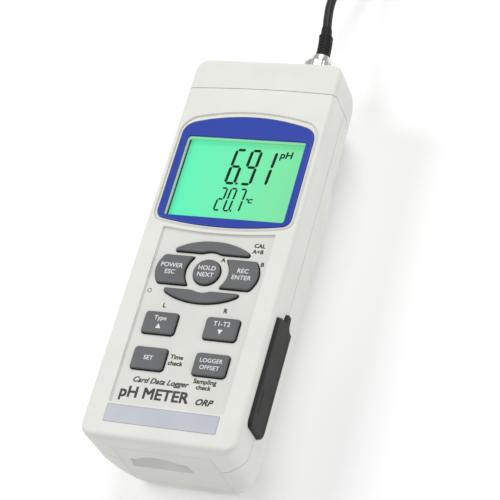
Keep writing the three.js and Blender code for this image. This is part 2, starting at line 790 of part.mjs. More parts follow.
CASE_SCREWS.rows.forEach((y, row) => {
  for (const side of [-1, 1]) {
    const underHead = screwSeat(y) - 0.1;
    const screw = joined(
      post(side * CASE_SCREWS.x, y, underHead - 2, underHead, 2.3, 14),
      post(side * CASE_SCREWS.x, y, underHead - 0.2, 39, 1.2, 10)
    );
    piece(`case_screw_${row + 1}_${side < 0 ? 'left' : 'right'}`, screw, steel);
  }
});
const nutFoot = UPPER_BACK_RISE + 1.5;
piece(
  'tripod_nut',
  post(0, TRIPOD.y, nutFoot, nutFoot + TRIPOD.depth, TRIPOD.radius, 20).subtract(
    post(0, TRIPOD.y, 0, UPPER_BACK_RISE + TRIPOD.depth, TRIPOD.bore, 20)
  ),
  brass
);

// ---------------------------------------------------------------- sockets in the cap

const SOCKET_END = BODY_LENGTH + SOCKET_PROUD;
piece(
  'probe_socket',
  turned(
    [
      [0, 166],
      [3, 166],
      [3, 171],
      [7, 171],
      [7, 174.2],
      [4.8, 174.2],
      [4.8, SOCKET_END],
      [4.1, SOCKET_END],
      [4.1, 181],
      [0, 181],
    ],
    PROBE_SOCKET_X,
    SOCKET_HEIGHT
  ),
  nickel
);
piece(
  'probe_socket_nut',
  rodAlongY(PROBE_SOCKET_X, SOCKET_HEIGHT, BODY_LENGTH + GAP, BODY_LENGTH + 2.2, 7.6, 6).subtract(
    rodAlongY(PROBE_SOCKET_X, SOCKET_HEIGHT, BODY_LENGTH, BODY_LENGTH + 3, 5.2)
  ),
  nickel
);
piece(
  'temperature_socket',
  turned(
    [
      [0, 162],
      [4.4, 162],
      [4.4, 174.2],
      [3, 174.2],
      [3, BODY_LENGTH + GAP],
      [5, BODY_LENGTH + GAP],
      [5, 180],
      [1.8, 180],
      [1.8, 165],
      [0, 165],
    ],
    TEMPERATURE_SOCKET_X,
    SOCKET_HEIGHT
  ),
  componentBlack
);

// ---------------------------------------------------------------- plug, cable, coil and electrode

piece(
  'plug_sleeve',
  turned(
    [
      [5.2, 179.6],
      [7.2, 179.6],
      [7.2, 189],
      [4.8, 189],
      [4.8, 188.4],
      [5.2, 188.4],
      [5.2, 179.6],
    ],
    PROBE_SOCKET_X,
    SOCKET_HEIGHT,
    20
  ),
  nickel
);
piece(
  'plug_body',
  turned(
    [
      [0, 181.5],
      [3.7, 181.5],
      [3.7, 188.4],
      [4.4, 188.4],
      [4.4, 193.4],
      [0, 193.4],
    ],
    PROBE_SOCKET_X,
    SOCKET_HEIGHT
  ),
  nickel
);
piece(
  'cable_boot',
  turned(
    [
      [0, 193.7],
      [3.1, 193.7],
      [3.1, 204.8],
      [2.4, 206],
      [2.3, BOOT_END],
      [0, BOOT_END],
    ],
    PROBE_SOCKET_X,
    SOCKET_HEIGHT,
    20
  ),
  rubberBlack
);

// A round tube along a smooth curve through the points.
function cableTube(points, steps) {
  const path = new THREE.CatmullRomCurve3(points.map(([x, y, z]) => new THREE.Vector3(x, y, z)));
  const sides = 10;
  const circle = new THREE.Shape();
  circle.absarc(0, 0, CABLE_DIAMETER / 2, 0, 2 * Math.PI);
  const outline = new THREE.Shape(circle.getPoints(sides).slice(0, sides));
  return solid(new THREE.ExtrudeGeometry(outline, { steps, extrudePath: path, bevelEnabled: false }));
}

const cableRoute = [
  [13.3, BOOT_END + GAP, 24],
  [13, 216, 24],
  [12.6, 223, 23.6],
  [12.6, 230, 22.4],
  [13.2, 237, 20.2],
  [14.3, 244, 17.2],
  [15.8, 251, 14],
  [17.4, 258, 11.2],
  [18.8, 264, 9.2],
  [19.7, 269, 7.9],
  [20, 272.7, 7.2],
];
const tailRoute = [
  [9.8, 262, 2.1],
  [14, 262, 2.1],
  [19, 262.6, 2.3],
  [24, 264.6, 3],
  [28.4, 268.2, 4.4],
  [31.4, 272.6, 6.2],
  [32.7, 277, 7.6],
  [33, 282.6, 8.4],
];
piece('cable', cableTube(cableRoute, 14), rubberBlack);
piece('cable_tail', cableTube(tailRoute, 10), rubberBlack);

function coilRing() {
  const inner = COIL.turnRadii[0] - CABLE_DIAMETER / 2;
  const outer = COIL.turnRadii[2] + CABLE_DIAMETER / 2;
  const high = COIL.height;
  const soft = 1.6;
  const profile = [
    [inner + soft, 0],
    [outer - soft, 0],
    [outer, soft],
    [outer, high - soft],
    [outer - soft, high],
    [inner + soft, high],
    [inner, high - soft],
    [inner, soft],
    [inner + soft, 0],
  ];
  const points = profile.map(([radius, y]) => new THREE.Vector2(radius, y));
  const geometry = new THREE.LatheGeometry(points, 28);
  geometry.rotateX(Math.PI / 2);
  geometry.translate(COIL.centre[0], COIL.centre[1], 0);
  return solid(geometry);
}

piece('cable_coil', coilRing(), rubberBlack);
piece(
  'electrode_handle',
  turned(
    [
      [0, ELECTRODE.bootFrom],
      [2.8, ELECTRODE.bootFrom],
      [4, ELECTRODE.handleFrom],
      [7, ELECTRODE.handleFrom],
      [8, ELECTRODE.handleFrom + 3],
      [8, ELECTRODE.stemFrom - 3],
      [7.2, ELECTRODE.stemFrom - GAP],
      [0, ELECTRODE.stemFrom - GAP],
    ],
    ELECTRODE.x,
    ELECTRODE.z
  ),
  electrodeBody
);
piece(
  'electrode_stem',
  turned(
    [
      [0, ELECTRODE.stemFrom],
      [6, ELECTRODE.stemFrom],
      [6, ELECTRODE.tip - 6],
      [4.2, ELECTRODE.tip - 2],
      [0, ELECTRODE.tip],
    ],
    ELECTRODE.x,
    ELECTRODE.z
  ),
  electrodeBody
);
piece(
  'electrode_cap',
  turned(
    [
      [6.3, ELECTRODE.tip - 16],
      [8.2, ELECTRODE.tip - 16],
      [8.2, ELECTRODE.capTo],
      [0, ELECTRODE.capTo],
      [0, ELECTRODE.tip + 2],
      [6.3, ELECTRODE.tip + 2],
      [6.3, ELECTRODE.tip - 16],
    ],
    ELECTRODE.x,
    ELECTRODE.z
  ),
  clearPlastic
);

// ---------------------------------------------------------------- origin under the meter's centre

const flapProud = FLAP.outer - BODY_HALF_WIDTH;
meter.position.set(-flapProud / 2, -SOCKET_END / 2, 0);
meter.updateMatrixWorld(true);

export default meter;
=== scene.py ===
"""A hand-held pH meter: its detailed pieces, finishes, light and camera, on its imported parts.

Sizes are in millimetres unless a name says otherwise. Pieces are drawn with x = 0 on the meter's
centreline, y = 0 at its bottom end and z = 0 at its back, and placed in the frame at the end.
"""

import math

import bmesh
import bpy
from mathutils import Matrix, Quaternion, Vector


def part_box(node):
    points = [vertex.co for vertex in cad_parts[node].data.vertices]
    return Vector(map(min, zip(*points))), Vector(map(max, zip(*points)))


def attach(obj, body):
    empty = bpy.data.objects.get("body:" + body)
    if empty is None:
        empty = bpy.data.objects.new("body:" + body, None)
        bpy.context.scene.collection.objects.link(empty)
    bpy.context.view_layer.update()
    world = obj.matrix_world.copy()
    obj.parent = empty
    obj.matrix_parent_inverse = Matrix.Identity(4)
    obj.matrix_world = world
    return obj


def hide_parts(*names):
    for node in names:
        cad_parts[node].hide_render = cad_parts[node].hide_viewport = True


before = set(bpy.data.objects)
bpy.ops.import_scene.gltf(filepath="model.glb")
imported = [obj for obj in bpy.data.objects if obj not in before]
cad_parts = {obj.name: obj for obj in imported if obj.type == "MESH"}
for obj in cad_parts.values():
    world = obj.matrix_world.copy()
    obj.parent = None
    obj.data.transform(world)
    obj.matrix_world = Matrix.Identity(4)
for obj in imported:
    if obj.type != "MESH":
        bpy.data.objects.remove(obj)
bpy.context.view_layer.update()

# ---- sizes

BODY_LENGTH = 177
BODY_HALF_WIDTH = 33
BODY_THICKNESS = 45
WALL = 2.4
GAP = 0.3
FACE_EDGE_RADIUS = 2.4
END_CORNER_RADIUS = 6
END_EDGE_RADIUS = 2.5
SIDE_WALL_FOOT = 22
FLAT_BACK_HALF_WIDTH = 20
BACK_CURVE_PULL = (29.5, 2)
UPPER_BACK_RISE = 4.5
BACK_STEP = (120, 138)

CAP_SEAM = 161.2
CAP_SEAM_BOW = 0.9
PARTING_SIDE = 31
PARTING_END = 25

RECESS_FLOOR = 44
LENS_TOP = 45.2
KEY_TOP = 45.3
LCD_TOP = 42.2
INK = 0.02
LEGEND_FOOT = KEY_TOP - 0.012
RING_CENTRE = (0, 74.7)
RING_RADII = (22, 13.9)
RING_BORE = 9.3
HOLD_RADIUS = 5.65
SQUARE_KEY = (13.05, 13.9, 9.6, 1.4)
SQUARE_ROWS = (50.5, 34.9)

SOCKET_HEIGHT = 24
PROBE_X = 13.3
TEMPERATURE_X = -13.3
PLUG_AXIS = (PROBE_X, SOCKET_HEIGHT)
CABLE_DIAMETER = 4
BEND_START = 194
BEND_LENGTH = 10
BEND_RATE = 0.008
COIL_CENTRE = (-8, 290)
COIL_RADII = (27.9, 23.85, 19.8)
COIL_LAYERS = (2.35, 6.55)
ELECTRODE = (33, 8.4)
SHARP_CORNER = math.radians(22)
SMALL_INSET = 0.25
CARD_CENTRE = -5

CAMERA_AT = (0.27878, -0.32212, 0.6247)
CAMERA_LOOKS_AT = (0.0079, 0.0002, 0.03)
CAMERA_ROLL_DEG = -29.54
CAMERA_LENS = 129.9

# ---- placing

shell_low, shell_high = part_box("front_shell")
CENTRE_X = (shell_low.x + shell_high.x) / 2
END_Y = shell_low.y


def place(point):
    return Vector((CENTRE_X + point[0] / 1000, END_Y + point[1] / 1000, point[2] / 1000))


# ---- materials


class Finish:
    """A material in the making: its shader, and the nodes that feed it."""

    def __init__(self, name):
        self.material = bpy.data.materials.new(name)
        self.material.use_nodes = True
        tree = self.material.node_tree
        self.nodes, self.links, self.shader = tree.nodes, tree.links, tree.nodes["Principled BSDF"]
        self.place = self.nodes.new("ShaderNodeTexCoord").outputs["Object"]

    def fill(self, node, inputs):
        """Sets each named input to a value, or wires it to another node's output."""
        for name, value in inputs.items():
            if isinstance(value, bpy.types.NodeSocket):
                self.links.new(value, node.inputs[name])
            else:
                node.inputs[name].default_value = value
        return node

    def add(self, kind, inputs):
        return self.fill(self.nodes.new("ShaderNode" + kind), inputs)

    def noise(self, scale, detail=2):
        made = self.add("TexNoise", {"Scale": scale, "Detail": detail, "Vector": self.place})
        return made.outputs["Fac"]

    def remap(self, value, **limits):
        limits = {name.replace("_", " "): limit for name, limit in limits.items()}
        return self.add("MapRange", {"Value": value, **limits}).outputs["Result"]

    def tones(self, value, dark, light, positions=(0, 1)):
        ramp = self.add("ValToRGB", {"Fac": value})
        for stop, colour, position in zip(ramp.color_ramp.elements, (dark, light), positions):
            stop.position = position
            stop.color = (*colour, 1)
        return ramp.outputs["Color"]


BUMP_DEPTH = 0.00005


def surface(name, dark, light, roughness, grain=0.25, relief=0.1, patch=14, spread=0.06, **others):
    """A moulded, cast or plated finish: two close tones mixed by a broad noise, with a fine grain.

    grain and patch are the fine and the broad noise's sizes in mm, relief is how strongly the grain
    bumps and spread how far the roughness varies. Others go to the shader as they are."""
    made = Finish(name)
    broad, worn, fine = (
        made.noise(1000 / size, detail) for size, detail in ((patch, 4), (patch / 3, 3), (grain, 2))
    )
    least, most = max(roughness - spread, 0.02), min(roughness + spread, 1)
    bump = made.add("Bump", {"Strength": relief, "Distance": BUMP_DEPTH, "Height": fine})
    wanted = {
        "Base Color": made.tones(broad, dark, light, (0.3, 0.7)),
        "Roughness": made.remap(worn, To_Min=least, To_Max=most),
        "Normal": bump.outputs["Normal"],
    }
    made.fill(made.shader, wanted | {name.replace("_", " "): value for name, value in others.items()})
    return made.material


def clear(name, tint, alpha, roughness):
    """A clear plastic with a faint haze."""
    made = Finish(name)
    wanted = {
        "Roughness": made.remap(made.noise(90), To_Min=roughness, To_Max=roughness + 0.06),
        "Base Color": (*tint, 1),
        "Alpha": alpha,
        "Specular IOR Level": 0.15,
    }
    made.fill(made.shader, wanted)
    return made.material


def lit_panel():
    """The backlit display: brighter near its lamps at the left, fading a little to its right."""
    made = Finish("lcd_green")
    axes = made.add("SeparateXYZ", {"Vector": made.place})
    across = made.remap(axes.outputs["X"], From_Min=-0.028, From_Max=0.027)
    shade = made.add("Math", {0: made.noise(55), 1: 0.25, 2: across})
    shade.operation = "MULTIPLY_ADD"
    glow = made.tones(shade.outputs["Value"], (0.05, 0.58, 0.32), (0.12, 0.5, 0.23))
    wanted = {"Base Color": glow, "Emission Color": glow, "Emission Strength": 0.62, "Roughness": 0.35}
    made.fill(made.shader, wanted)
    return made.material


MOULDED = {"grain": 0.3, "relief": 0.12}
shell_white = surface("shell_abs", (0.755, 0.76, 0.715), (0.79, 0.795, 0.75), 0.52, **MOULDED)
cap_white = surface("cap_abs", (0.745, 0.745, 0.705), (0.785, 0.785, 0.745), 0.54, **MOULDED)
# The keypad recess floor: a little darker and yellower than the rest of the face.
tray_white = surface("keypad_tray", (0.69, 0.695, 0.645), (0.73, 0.735, 0.685), 0.5, **MOULDED)
# Painted light: the opening's wall above the display is tinted green and made to glow, for the backlight
# falling on it.
painted_backlight_glow = surface(
    "opening_wall_painted_glow", (0.35, 0.75, 0.5), (0.4, 0.8, 0.56), 0.5,
    Emission_Color=(0.3, 0.8, 0.5, 1), Emission_Strength=0.35,
)
lens_blue = surface(
    "lens_blue", (0.024, 0.055, 0.37), (0.03, 0.063, 0.4), 0.3,
    relief=0.01, patch=30, Specular_IOR_Level=0.3,
)
key_grey = surface("key_grey", (0.105, 0.11, 0.115), (0.125, 0.13, 0.135), 0.55, grain=0.22, relief=0.14)
key_black = surface("key_rubber", (0.012, 0.013, 0.014), (0.02, 0.021, 0.022), 0.7, grain=0.3, relief=0.1)
legend_white = surface("legend_white", (0.72, 0.73, 0.73), (0.8, 0.81, 0.81), 0.5, relief=0.02)
print_dark = surface("printed_dark", (0.028, 0.027, 0.024), (0.045, 0.042, 0.038), 0.55, relief=0.02)
label_grey = surface("label_film", (0.5, 0.525, 0.59), (0.55, 0.57, 0.63), 0.32, grain=0.5, relief=0.03)
flap_rubber = surface("flap_rubber", (0.01, 0.012, 0.01), (0.018, 0.021, 0.018), 0.7, grain=0.35, relief=0.3)
jacket = surface(
    "cable_jacket", (0.01, 0.01, 0.011), (0.018, 0.018, 0.02), 0.45,
    grain=0.5, relief=0.12, Specular_IOR_Level=0.3,
)
boot_rubber = surface(
    "boot_rubber", (0.009, 0.009, 0.01), (0.016, 0.016, 0.017), 0.55,
    grain=0.3, relief=0.2, Specular_IOR_Level=0.2,
)
black_plastic = surface("black_plastic", (0.015, 0.015, 0.016), (0.024, 0.024, 0.026), 0.42, relief=0.12)
white_plastic = surface("white_plastic", (0.82, 0.82, 0.79), (0.88, 0.88, 0.85), 0.45, relief=0.06)
nickel = surface("nickel", (0.7, 0.69, 0.66), (0.8, 0.79, 0.76), 0.26, grain=0.6, relief=0.03, Metallic=1.0)
steel = surface(
    "zinc_steel", (0.42, 0.43, 0.44), (0.56, 0.57, 0.59), 0.34, grain=0.4, relief=0.15, Metallic=1.0
)
brass = surface("brass", (0.62, 0.42, 0.17), (0.76, 0.55, 0.25), 0.3, grain=0.5, relief=0.12, Metallic=1.0)
board_green = surface("board_green", (0.012, 0.11, 0.045), (0.02, 0.16, 0.07), 0.35, patch=3, relief=0.1)
cell_wrap = surface("cell_wrap", (0.08, 0.2, 0.4), (0.12, 0.26, 0.48), 0.3, relief=0.02)
segment_dark = surface(
    "segment_dark", (0.001, 0.01, 0.005), (0.002, 0.014, 0.008), 0.6,
    relief=0.01, Specular_IOR_Level=0.05,
)
probe_blue = surface(
    "probe_epoxy", (0.025, 0.075, 0.26), (0.04, 0.1, 0.33), 0.28, relief=0.05, Coat_Weight=0.3
)
hook_tie = surface("tie_fabric", (0.018, 0.018, 0.02), (0.04, 0.04, 0.043), 0.9, grain=0.45, relief=1.0)
reset_blue = surface("reset_blue", (0.04, 0.09, 0.38), (0.05, 0.11, 0.43), 0.3)
window_clear = clear("window_acrylic", (0.5, 0.75, 0.65), 0.012, 0.03)
cap_clear = clear("cap_clear", (0.86, 0.9, 0.93), 0.38, 0.12)
lcd_green = lit_panel()

# ---- meshes, in millimetres


def loft(rings, wrap=False):
    """A closed skin over rings of equal length. wrap joins the last ring to the first, with no ends."""
    bm = bmesh.new()
    rows = [[bm.verts.new(point) for point in ring] for ring in rings]
    count = len(rings[0])
    pairs = list(zip(rows, rows[1:]))
    if wrap:
        pairs.append((rows[-1], rows[0]))
    for low, high in pairs:
        for i in range(count):
            j = (i + 1) % count
            bm.faces.new((low[i], low[j], high[j], high[i]))
    if not wrap:
        bm.faces.new(rows[0][::-1])
        bm.faces.new(rows[-1])
    bmesh.ops.recalc_face_normals(bm, faces=bm.faces)
    return bm


def share(value, start, end):
    """How far a value has gone from start to end, from 0 to 1."""
    return min(max((value - start) / (end - start), 0), 1)


def eased(t):
    return t * t * (3 - 2 * t)


def at_level(axis, a, b, along):
    """A point at (a, b) across an axis, and a place along it."""
    return {"X": (along, a, b), "Y": (a, along, b), "Z": (a, b, along)}[axis]


def run(outline, axis, levels):
    """An outline run straight along an axis."""
    return loft([[at_level(axis, a, b, level) for a, b in outline] for level in levels])


def box_mesh(x0, x1, y0, y1, z0, z1):
    return run([(x0, y0), (x1, y0), (x1, y1), (x0, y1)], "Z", (z0, z1))


def circle(centre, radius, sides):
    angles = [2 * math.pi * i / sides for i in range(sides)]
    return [(centre[0] + radius * math.cos(angle), centre[1] + radius * math.sin(angle)) for angle in angles]


def gap_to(outline, point):
    """How far a point is from an outline's nearest side."""
    px, py = point
    nearest = math.inf
    for i, (bx, by) in enumerate(outline):
        ax, ay = outline[i - 1]
        dx, dy = bx - ax, by - ay
        square = dx * dx + dy * dy
        along = share((px - ax) * dx + (py - ay) * dy, 0, square) if square else 0
        nearest = min(nearest, math.hypot(px - ax - along * dx, py - ay - along * dy))
    return nearest


def uncrossed(outline, moved, distance):
    """The moved outline, with points that passed through a tight corner brought back onto a straight."""
    kept = [i for i, point in enumerate(moved) if gap_to(outline, point) > 0.97 * distance]
    count = len(moved)
    if not kept or len(kept) == count:
        return moved
    made = list(moved)
    for k, start in enumerate(kept):
        end = kept[(k + 1) % len(kept)]
        missing = (end - start) % count
        for step in range(1, missing):
            t = step / missing
            made[(start + step) % count] = tuple(moved[start][a] * (1 - t) + moved[end][a] * t for a in (0,
                1))
    return made


def inset_outline(outline, distance):
    """A counter-clockwise outline drawn in by a distance, along each corner's own normal."""
    moved = []
    count = len(outline)
    for i in range(count):
        before, here, after = (Vector(outline[(i + k) % count]) for k in (-1, 0, 1))
        first = (here - before).normalized()
        second = (after - here).normalized()
        normal = Vector((-(first.y + second.y), first.x + second.x))
        if normal.length < 1e-6:
            normal = Vector((-first.y, first.x))
        normal.normalize()
        stretch = max(normal.dot(Vector((-first.y, first.x))), 0.5)
        moved.append(tuple(here + normal * (distance / stretch)))
    return uncrossed(outline, moved, abs(distance)) if abs(distance) > SMALL_INSET else moved


def prism(outline, levels, axis="Z"):
    """An outline, counter-clockwise as (a, b) across an axis, through levels of (inset, place along it)."""
    rings = []
    for inset, level in levels:
        rings.append([at_level(axis, a, b, level) for a, b in inset_outline(outline, inset)])
    return loft(rings)


def turned(profile, axis, centre, sides=48):
    """A turned form round a line along axis: profile lists (radius, place along it)."""
    wrap = profile[0] == profile[-1]
    rows = []
    for radius, along in profile[:-1] if wrap else profile:
        rows.append([at_level(axis, a, b, along) for a, b in circle(centre, radius, sides)])
    return loft(rows, wrap)


def rod(axis, centre, start, end, radius, sides=32):
    return turned([(radius, start), (radius, end)], axis, centre, sides)


def rounded_box(x, y, width, height, radius, steps=6):
    outline = []
    for corner_x, corner_y, start in ((1, -1, -90), (1, 1, 0), (-1, 1, 90), (-1, -1, 180)):
        centre_x = x + corner_x * (width / 2 - radius)
        centre_y = y + corner_y * (height / 2 - radius)
        for i in range(steps + 1):
            angle = math.radians(start + 90 * i / steps)
            outline.append((centre_x + radius * math.cos(angle), centre_y + radius * math.sin(angle)))
    return outline


def softened(outline, reach, steps=5):
    """The outline with each sharp corner replaced by a short curve that starts reach before it."""
    points = [Vector(point) for point in outline]
    count = len(points)
    at = [0.0]
    for i in range(count):
        at.append(at[-1] + (points[(i + 1) % count] - points[i]).length)
    total = at[-1]

    def along(distance):
        distance %= total
        i = max(k for k in range(count) if at[k] <= distance)
        return points[i].lerp(points[(i + 1) % count], (distance - at[i]) / (at[i + 1] - at[i]))

    def turn(i):
        return (points[i] - points[i - 1]).angle(points[(i + 1) % count] - points[i], 0)

    sharp = [i for i in range(count) if turn(i) > SHARP_CORNER]
    zones = {}
    for k, i in enumerate(sharp):
        room_before = (at[i] - at[sharp[k - 1]]) % total or total
        room_after = (at[sharp[(k + 1) % len(sharp)]] - at[i]) % total or total
        zones[i] = (min(reach, room_before * 0.48), min(reach, room_after * 0.48))
    made = []
    for i in range(count):
        if i in zones:
            start, end = along(at[i] - zones[i][0]), along(at[i] + zones[i][1])
            for k in range(steps + 1):
                t = k / steps
                made.append(tuple(start * (1 - t) ** 2 + points[i] * 2 * t * (1 - t) + end * t**2))
        elif all(
            (at[j] - at[i]) % total > before + 0.02 and (at[i] - at[j]) % total > after + 0.02
            for j, (before, after) in zones.items()
        ):
            made.append(tuple(points[i]))
    return made


def bezier_points(a, b, c, steps):
    """Points of a short curve from a, pulled toward b, to just before c."""
    a, b, c = Vector(a), Vector(b), Vector(c)
    shares = [k / steps for k in range(steps)]
    return [tuple(a * (1 - t) ** 2 + b * 2 * t * (1 - t) + c * t**2) for t in shares]


def chain(start, legs):
    """Short curves joined end to end. Each leg is (pull, end, steps)."""
    points = []
    for pull, end, steps in legs:
        points += bezier_points(start, pull, end, steps)
        start = end
    return points


# ---- booleans and pieces


def linked(name, data):
    obj = bpy.data.objects.new(name, data)
    bpy.context.scene.collection.objects.link(obj)
    return obj


def loose(bm, name="loose"):
    mesh = bpy.data.meshes.new(name)
    bm.to_mesh(mesh)
    bm.free()
    return linked(name, mesh)


def drop(obj):
    mesh = obj.data
    bpy.data.objects.remove(obj)
    bpy.data.meshes.remove(mesh)


def carve(target, tools, operation="DIFFERENCE"):
    """target, a mesh or an object, with each tool cut away, added or kept in common, one after another."""
    obj = loose(target) if isinstance(target, bmesh.types.BMesh) else target
    for tool in tools:
        cutter = loose(tool) if isinstance(tool, bmesh.types.BMesh) else tool
        cut = obj.modifiers.new("cut", "BOOLEAN")
        cut.operation = operation
        cut.solver = "EXACT"
        cut.object = cutter
        graph = bpy.context.evaluated_depsgraph_get()
        result = bpy.data.meshes.new_from_object(obj.evaluated_get(graph))
        obj.modifiers.clear()
        old = obj.data
        obj.data = result
        bpy.data.meshes.remove(old)
        drop(cutter)
    return obj


def piece(form, name, body, materials, replaces=(), smooth=32, weld=True):
    """Places a finished form in the frame, as one piece on a body. smooth is an angle in degrees."""
    obj = form if isinstance(form, bpy.types.Object) else loose(form)
    obj.name = name
    obj.data.name = name
    bm = bmesh.new()
    bm.from_mesh(obj.data)
    if weld:
        bmesh.ops.remove_doubles(bm, verts=bm.verts, dist=0.002)
        bmesh.ops.dissolve_degenerate(bm, edges=bm.edges, dist=0.001)
    for vertex in bm.verts:
        vertex.co = place(vertex.co)
    limit = math.radians(smooth)
    for face in bm.faces:
        face.smooth = True
    for edge in bm.edges:
        edge.smooth = len(edge.link_faces) == 2 and edge.calc_face_angle(0) < limit
    bm.to_mesh(obj.data)
    bm.free()
    obj.data.materials.clear()
    for material in materials if isinstance(materials, (list, tuple)) else [materials]:
        obj.data.materials.append(material)
    even = obj.modifiers.new("even", "WEIGHTED_NORMAL")
    even.keep_sharp = True
    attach(obj, body)
    if replaces:
        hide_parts(*replaces)
    return obj


def merged(*forms):
    """The first mesh with the others added to it."""
    bm = forms[0]
    for other in forms[1:]:
        mesh = bpy.data.meshes.new("part")
        other.to_mesh(mesh)
        other.free()
        bm.from_mesh(mesh)
        bpy.data.meshes.remove(mesh)
    return bm


def fitting(profile, name, materials, node, centre, sides=48):
    """A turned piece of the case's body, standing along y."""
    return piece(turned(profile, "Y", centre, sides), name, "case", materials, (node,))


def paint(obj, index, chosen):
    """Gives the faces that chosen(centre in mm, normal) picks another of the piece's materials."""
    for face in obj.data.polygons:
        centre = face.center
        at = ((centre.x - CENTRE_X) * 1000, (centre.y - END_Y) * 1000, centre.z * 1000)
        if chosen(at, face.normal):
            face.material_index = index


# ---- camera, light and floor


def aimed(name, data, at, target, roll_deg=0):
    """A camera or light at a place, looking at a target."""
    obj = linked(name, data)
    obj.location = at
    obj.rotation_mode = "QUATERNION"
    look = (Vector(target) - obj.location).to_track_quat("-Z", "Y")
    obj.rotation_quaternion = look @ Quaternion((0, 0, 1), math.radians(roll_deg))
    return obj


camera = aimed("camera", bpy.data.cameras.new("camera"), CAMERA_AT, CAMERA_LOOKS_AT, CAMERA_ROLL_DEG)
camera.data.lens = CAMERA_LENS
camera.data.sensor_width = 36
camera.data.clip_start = 0.01
bpy.context.scene.camera = camera
bpy.context.scene.view_settings.view_transform = "Standard"


def softbox(name, at, size, power):
    light = bpy.data.lights.new(name, "AREA")
    light.size = size
    light.energy = power
    aimed(name, light, at, (0, 0, 0.02))


softbox("key_left", (-0.95, 0.05, 1.2), 0.6, 8)
softbox("key_top", (0.1, 1.0, 1.15), 0.6, 7.5)
softbox("fill_right", (1.25, -0.3, 0.6), 1.0, 3.6)
world = bpy.data.worlds.new("studio")
world.use_nodes = True
world.node_tree.nodes["Background"].inputs["Color"].default_value = (1, 1, 1, 1)
world.node_tree.nodes["Background"].inputs["Strength"].default_value = 0.46
bpy.context.scene.world = world

floor_mesh = bmesh.new()
bmesh.ops.create_grid(floor_mesh, x_segments=1, y_segments=1, size=6)
floor = loose(floor_mesh, "floor")
floor.location.z = -0.0004
paper = surface(
    "floor_paper", (0.9, 0.9, 0.9), (0.93, 0.93, 0.93), 0.9,
    patch=400, relief=0.0, Emission_Color=(1, 1, 1, 1), Emission_Strength=0.15,
)
floor.data.materials.append(paper)

# ---- cable, coil and tie

COIL_STEPS = 20


def coil_turns():
    """Points of the coil, in from the outside on its upper layer and out again on its lower one."""
    low, high = COIL_LAYERS
    plan = [(radius, high) for radius in COIL_RADII] + [(radius, low) for radius in reversed(COIL_RADII)]
    plan.append((COIL_RADII[0] + 4, low))
    points = []
    for turn in range(6):
        (radius, height), (next_radius, next_height) = plan[turn], plan[turn + 1]
        last = turn == 5
        for i in range(COIL_STEPS * 3 // 4 if last else COIL_STEPS):
            angle = 360 * i / COIL_STEPS
            t = share(angle, 225, 335)
            ease = 0 if last else eased(t)
            bulge = 1.9 * math.sin(math.pi * t) if turn == 2 else 0
            r = radius + (next_radius - radius) * ease - bulge
            x = COIL_CENTRE[0] + r * math.cos(math.radians(angle))
            y = COIL_CENTRE[1] + r * math.sin(math.radians(angle))
            points.append((x, y, height + (next_height - height) * ease))
    return points


lead_in = [
    (PROBE_X - 1.68, 209.5, 24), (10.6, 216, 24), (9.9, 223, 23.6), (10.1, 230, 22.4), (11.1, 237, 20.2),
    (12.8, 244, 17.2), (14.9, 251, 14), (16.9, 258, 11.2), (18.5, 264, 9.2), (19.6, 269, 8.1),
    (20, 273.5, 7.3), (20, 278.5, 6.8), (19.95, 284, 6.6),
]
lead_out = [
    (-8, 262.1, 2.35), (-2, 262.1, 2.3), (4, 262, 2.2), (9.8, 262, 2.2), (14, 262, 2.2), (19, 262.6, 2.3),
    (24, 264.6, 3), (28.4, 268.2, 4.4), (31.4, 272.6, 6.2), (32.7, 277, 7.6), (33, 282.6, 8.4),
    (33, 290, 8.4), (33, 305, 8.4), (33, 320, 8.4), (33, 336, 8.4),
]
cable_points = [place(point) for point in lead_in + coil_turns() + lead_out]
cable_curve = bpy.data.curves.new("probe_cable", "CURVE")
cable_curve.dimensions = "3D"
cable_curve.bevel_depth = CABLE_DIAMETER / 2000
cable_curve.bevel_resolution = 5
cable_curve.resolution_u = 5
cable_curve.use_fill_caps = True
spline = cable_curve.splines.new("BEZIER")
spline.bezier_points.add(len(cable_points) - 1)
for knot, point in zip(spline.bezier_points, cable_points):
    knot.co = point
    knot.handle_left_type = knot.handle_right_type = "AUTO"
cable = linked("probe_cable", cable_curve)
cable_curve.materials.append(jacket)
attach(cable, "case")
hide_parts("cable", "cable_coil", "cable_tail")


def cable_tie():
    """A hook-and-loop strap round the coil's six turns, with its end standing a little proud."""
    low, high = 17.4, 30.3
    outline = rounded_box((low + high) / 2, 4.45, high - low, 8.75, 3.0, 5)
    half = 3.4
    section = (
        (0, -half + 0.25), (0.28, -half), (0.28, half), (0, half - 0.25), (-0.45, half), (-0.45, -half),
    )
    rings = []
    for depth, across in section:
        ring = inset_outline(outline, -depth * 0.5 if depth > 0 else -depth)
        rings.append([(COIL_CENTRE[0] + across, COIL_CENTRE[1] + r, max(z, 0.03)) for r, z in ring])
    tab = [(COIL_CENTRE[0] + across, z) for across, z in ((-3, 9), (3, 9), (3, 9.5), (-3, 9.5))]
    return merged(loft(rings, wrap=True), run(tab, "Y", [COIL_CENTRE[1] + r for r in (19.5, 24, 27.5)]))


tie = piece(cable_tie(), "coil_tie", "case", hook_tie)

# ---- electrode

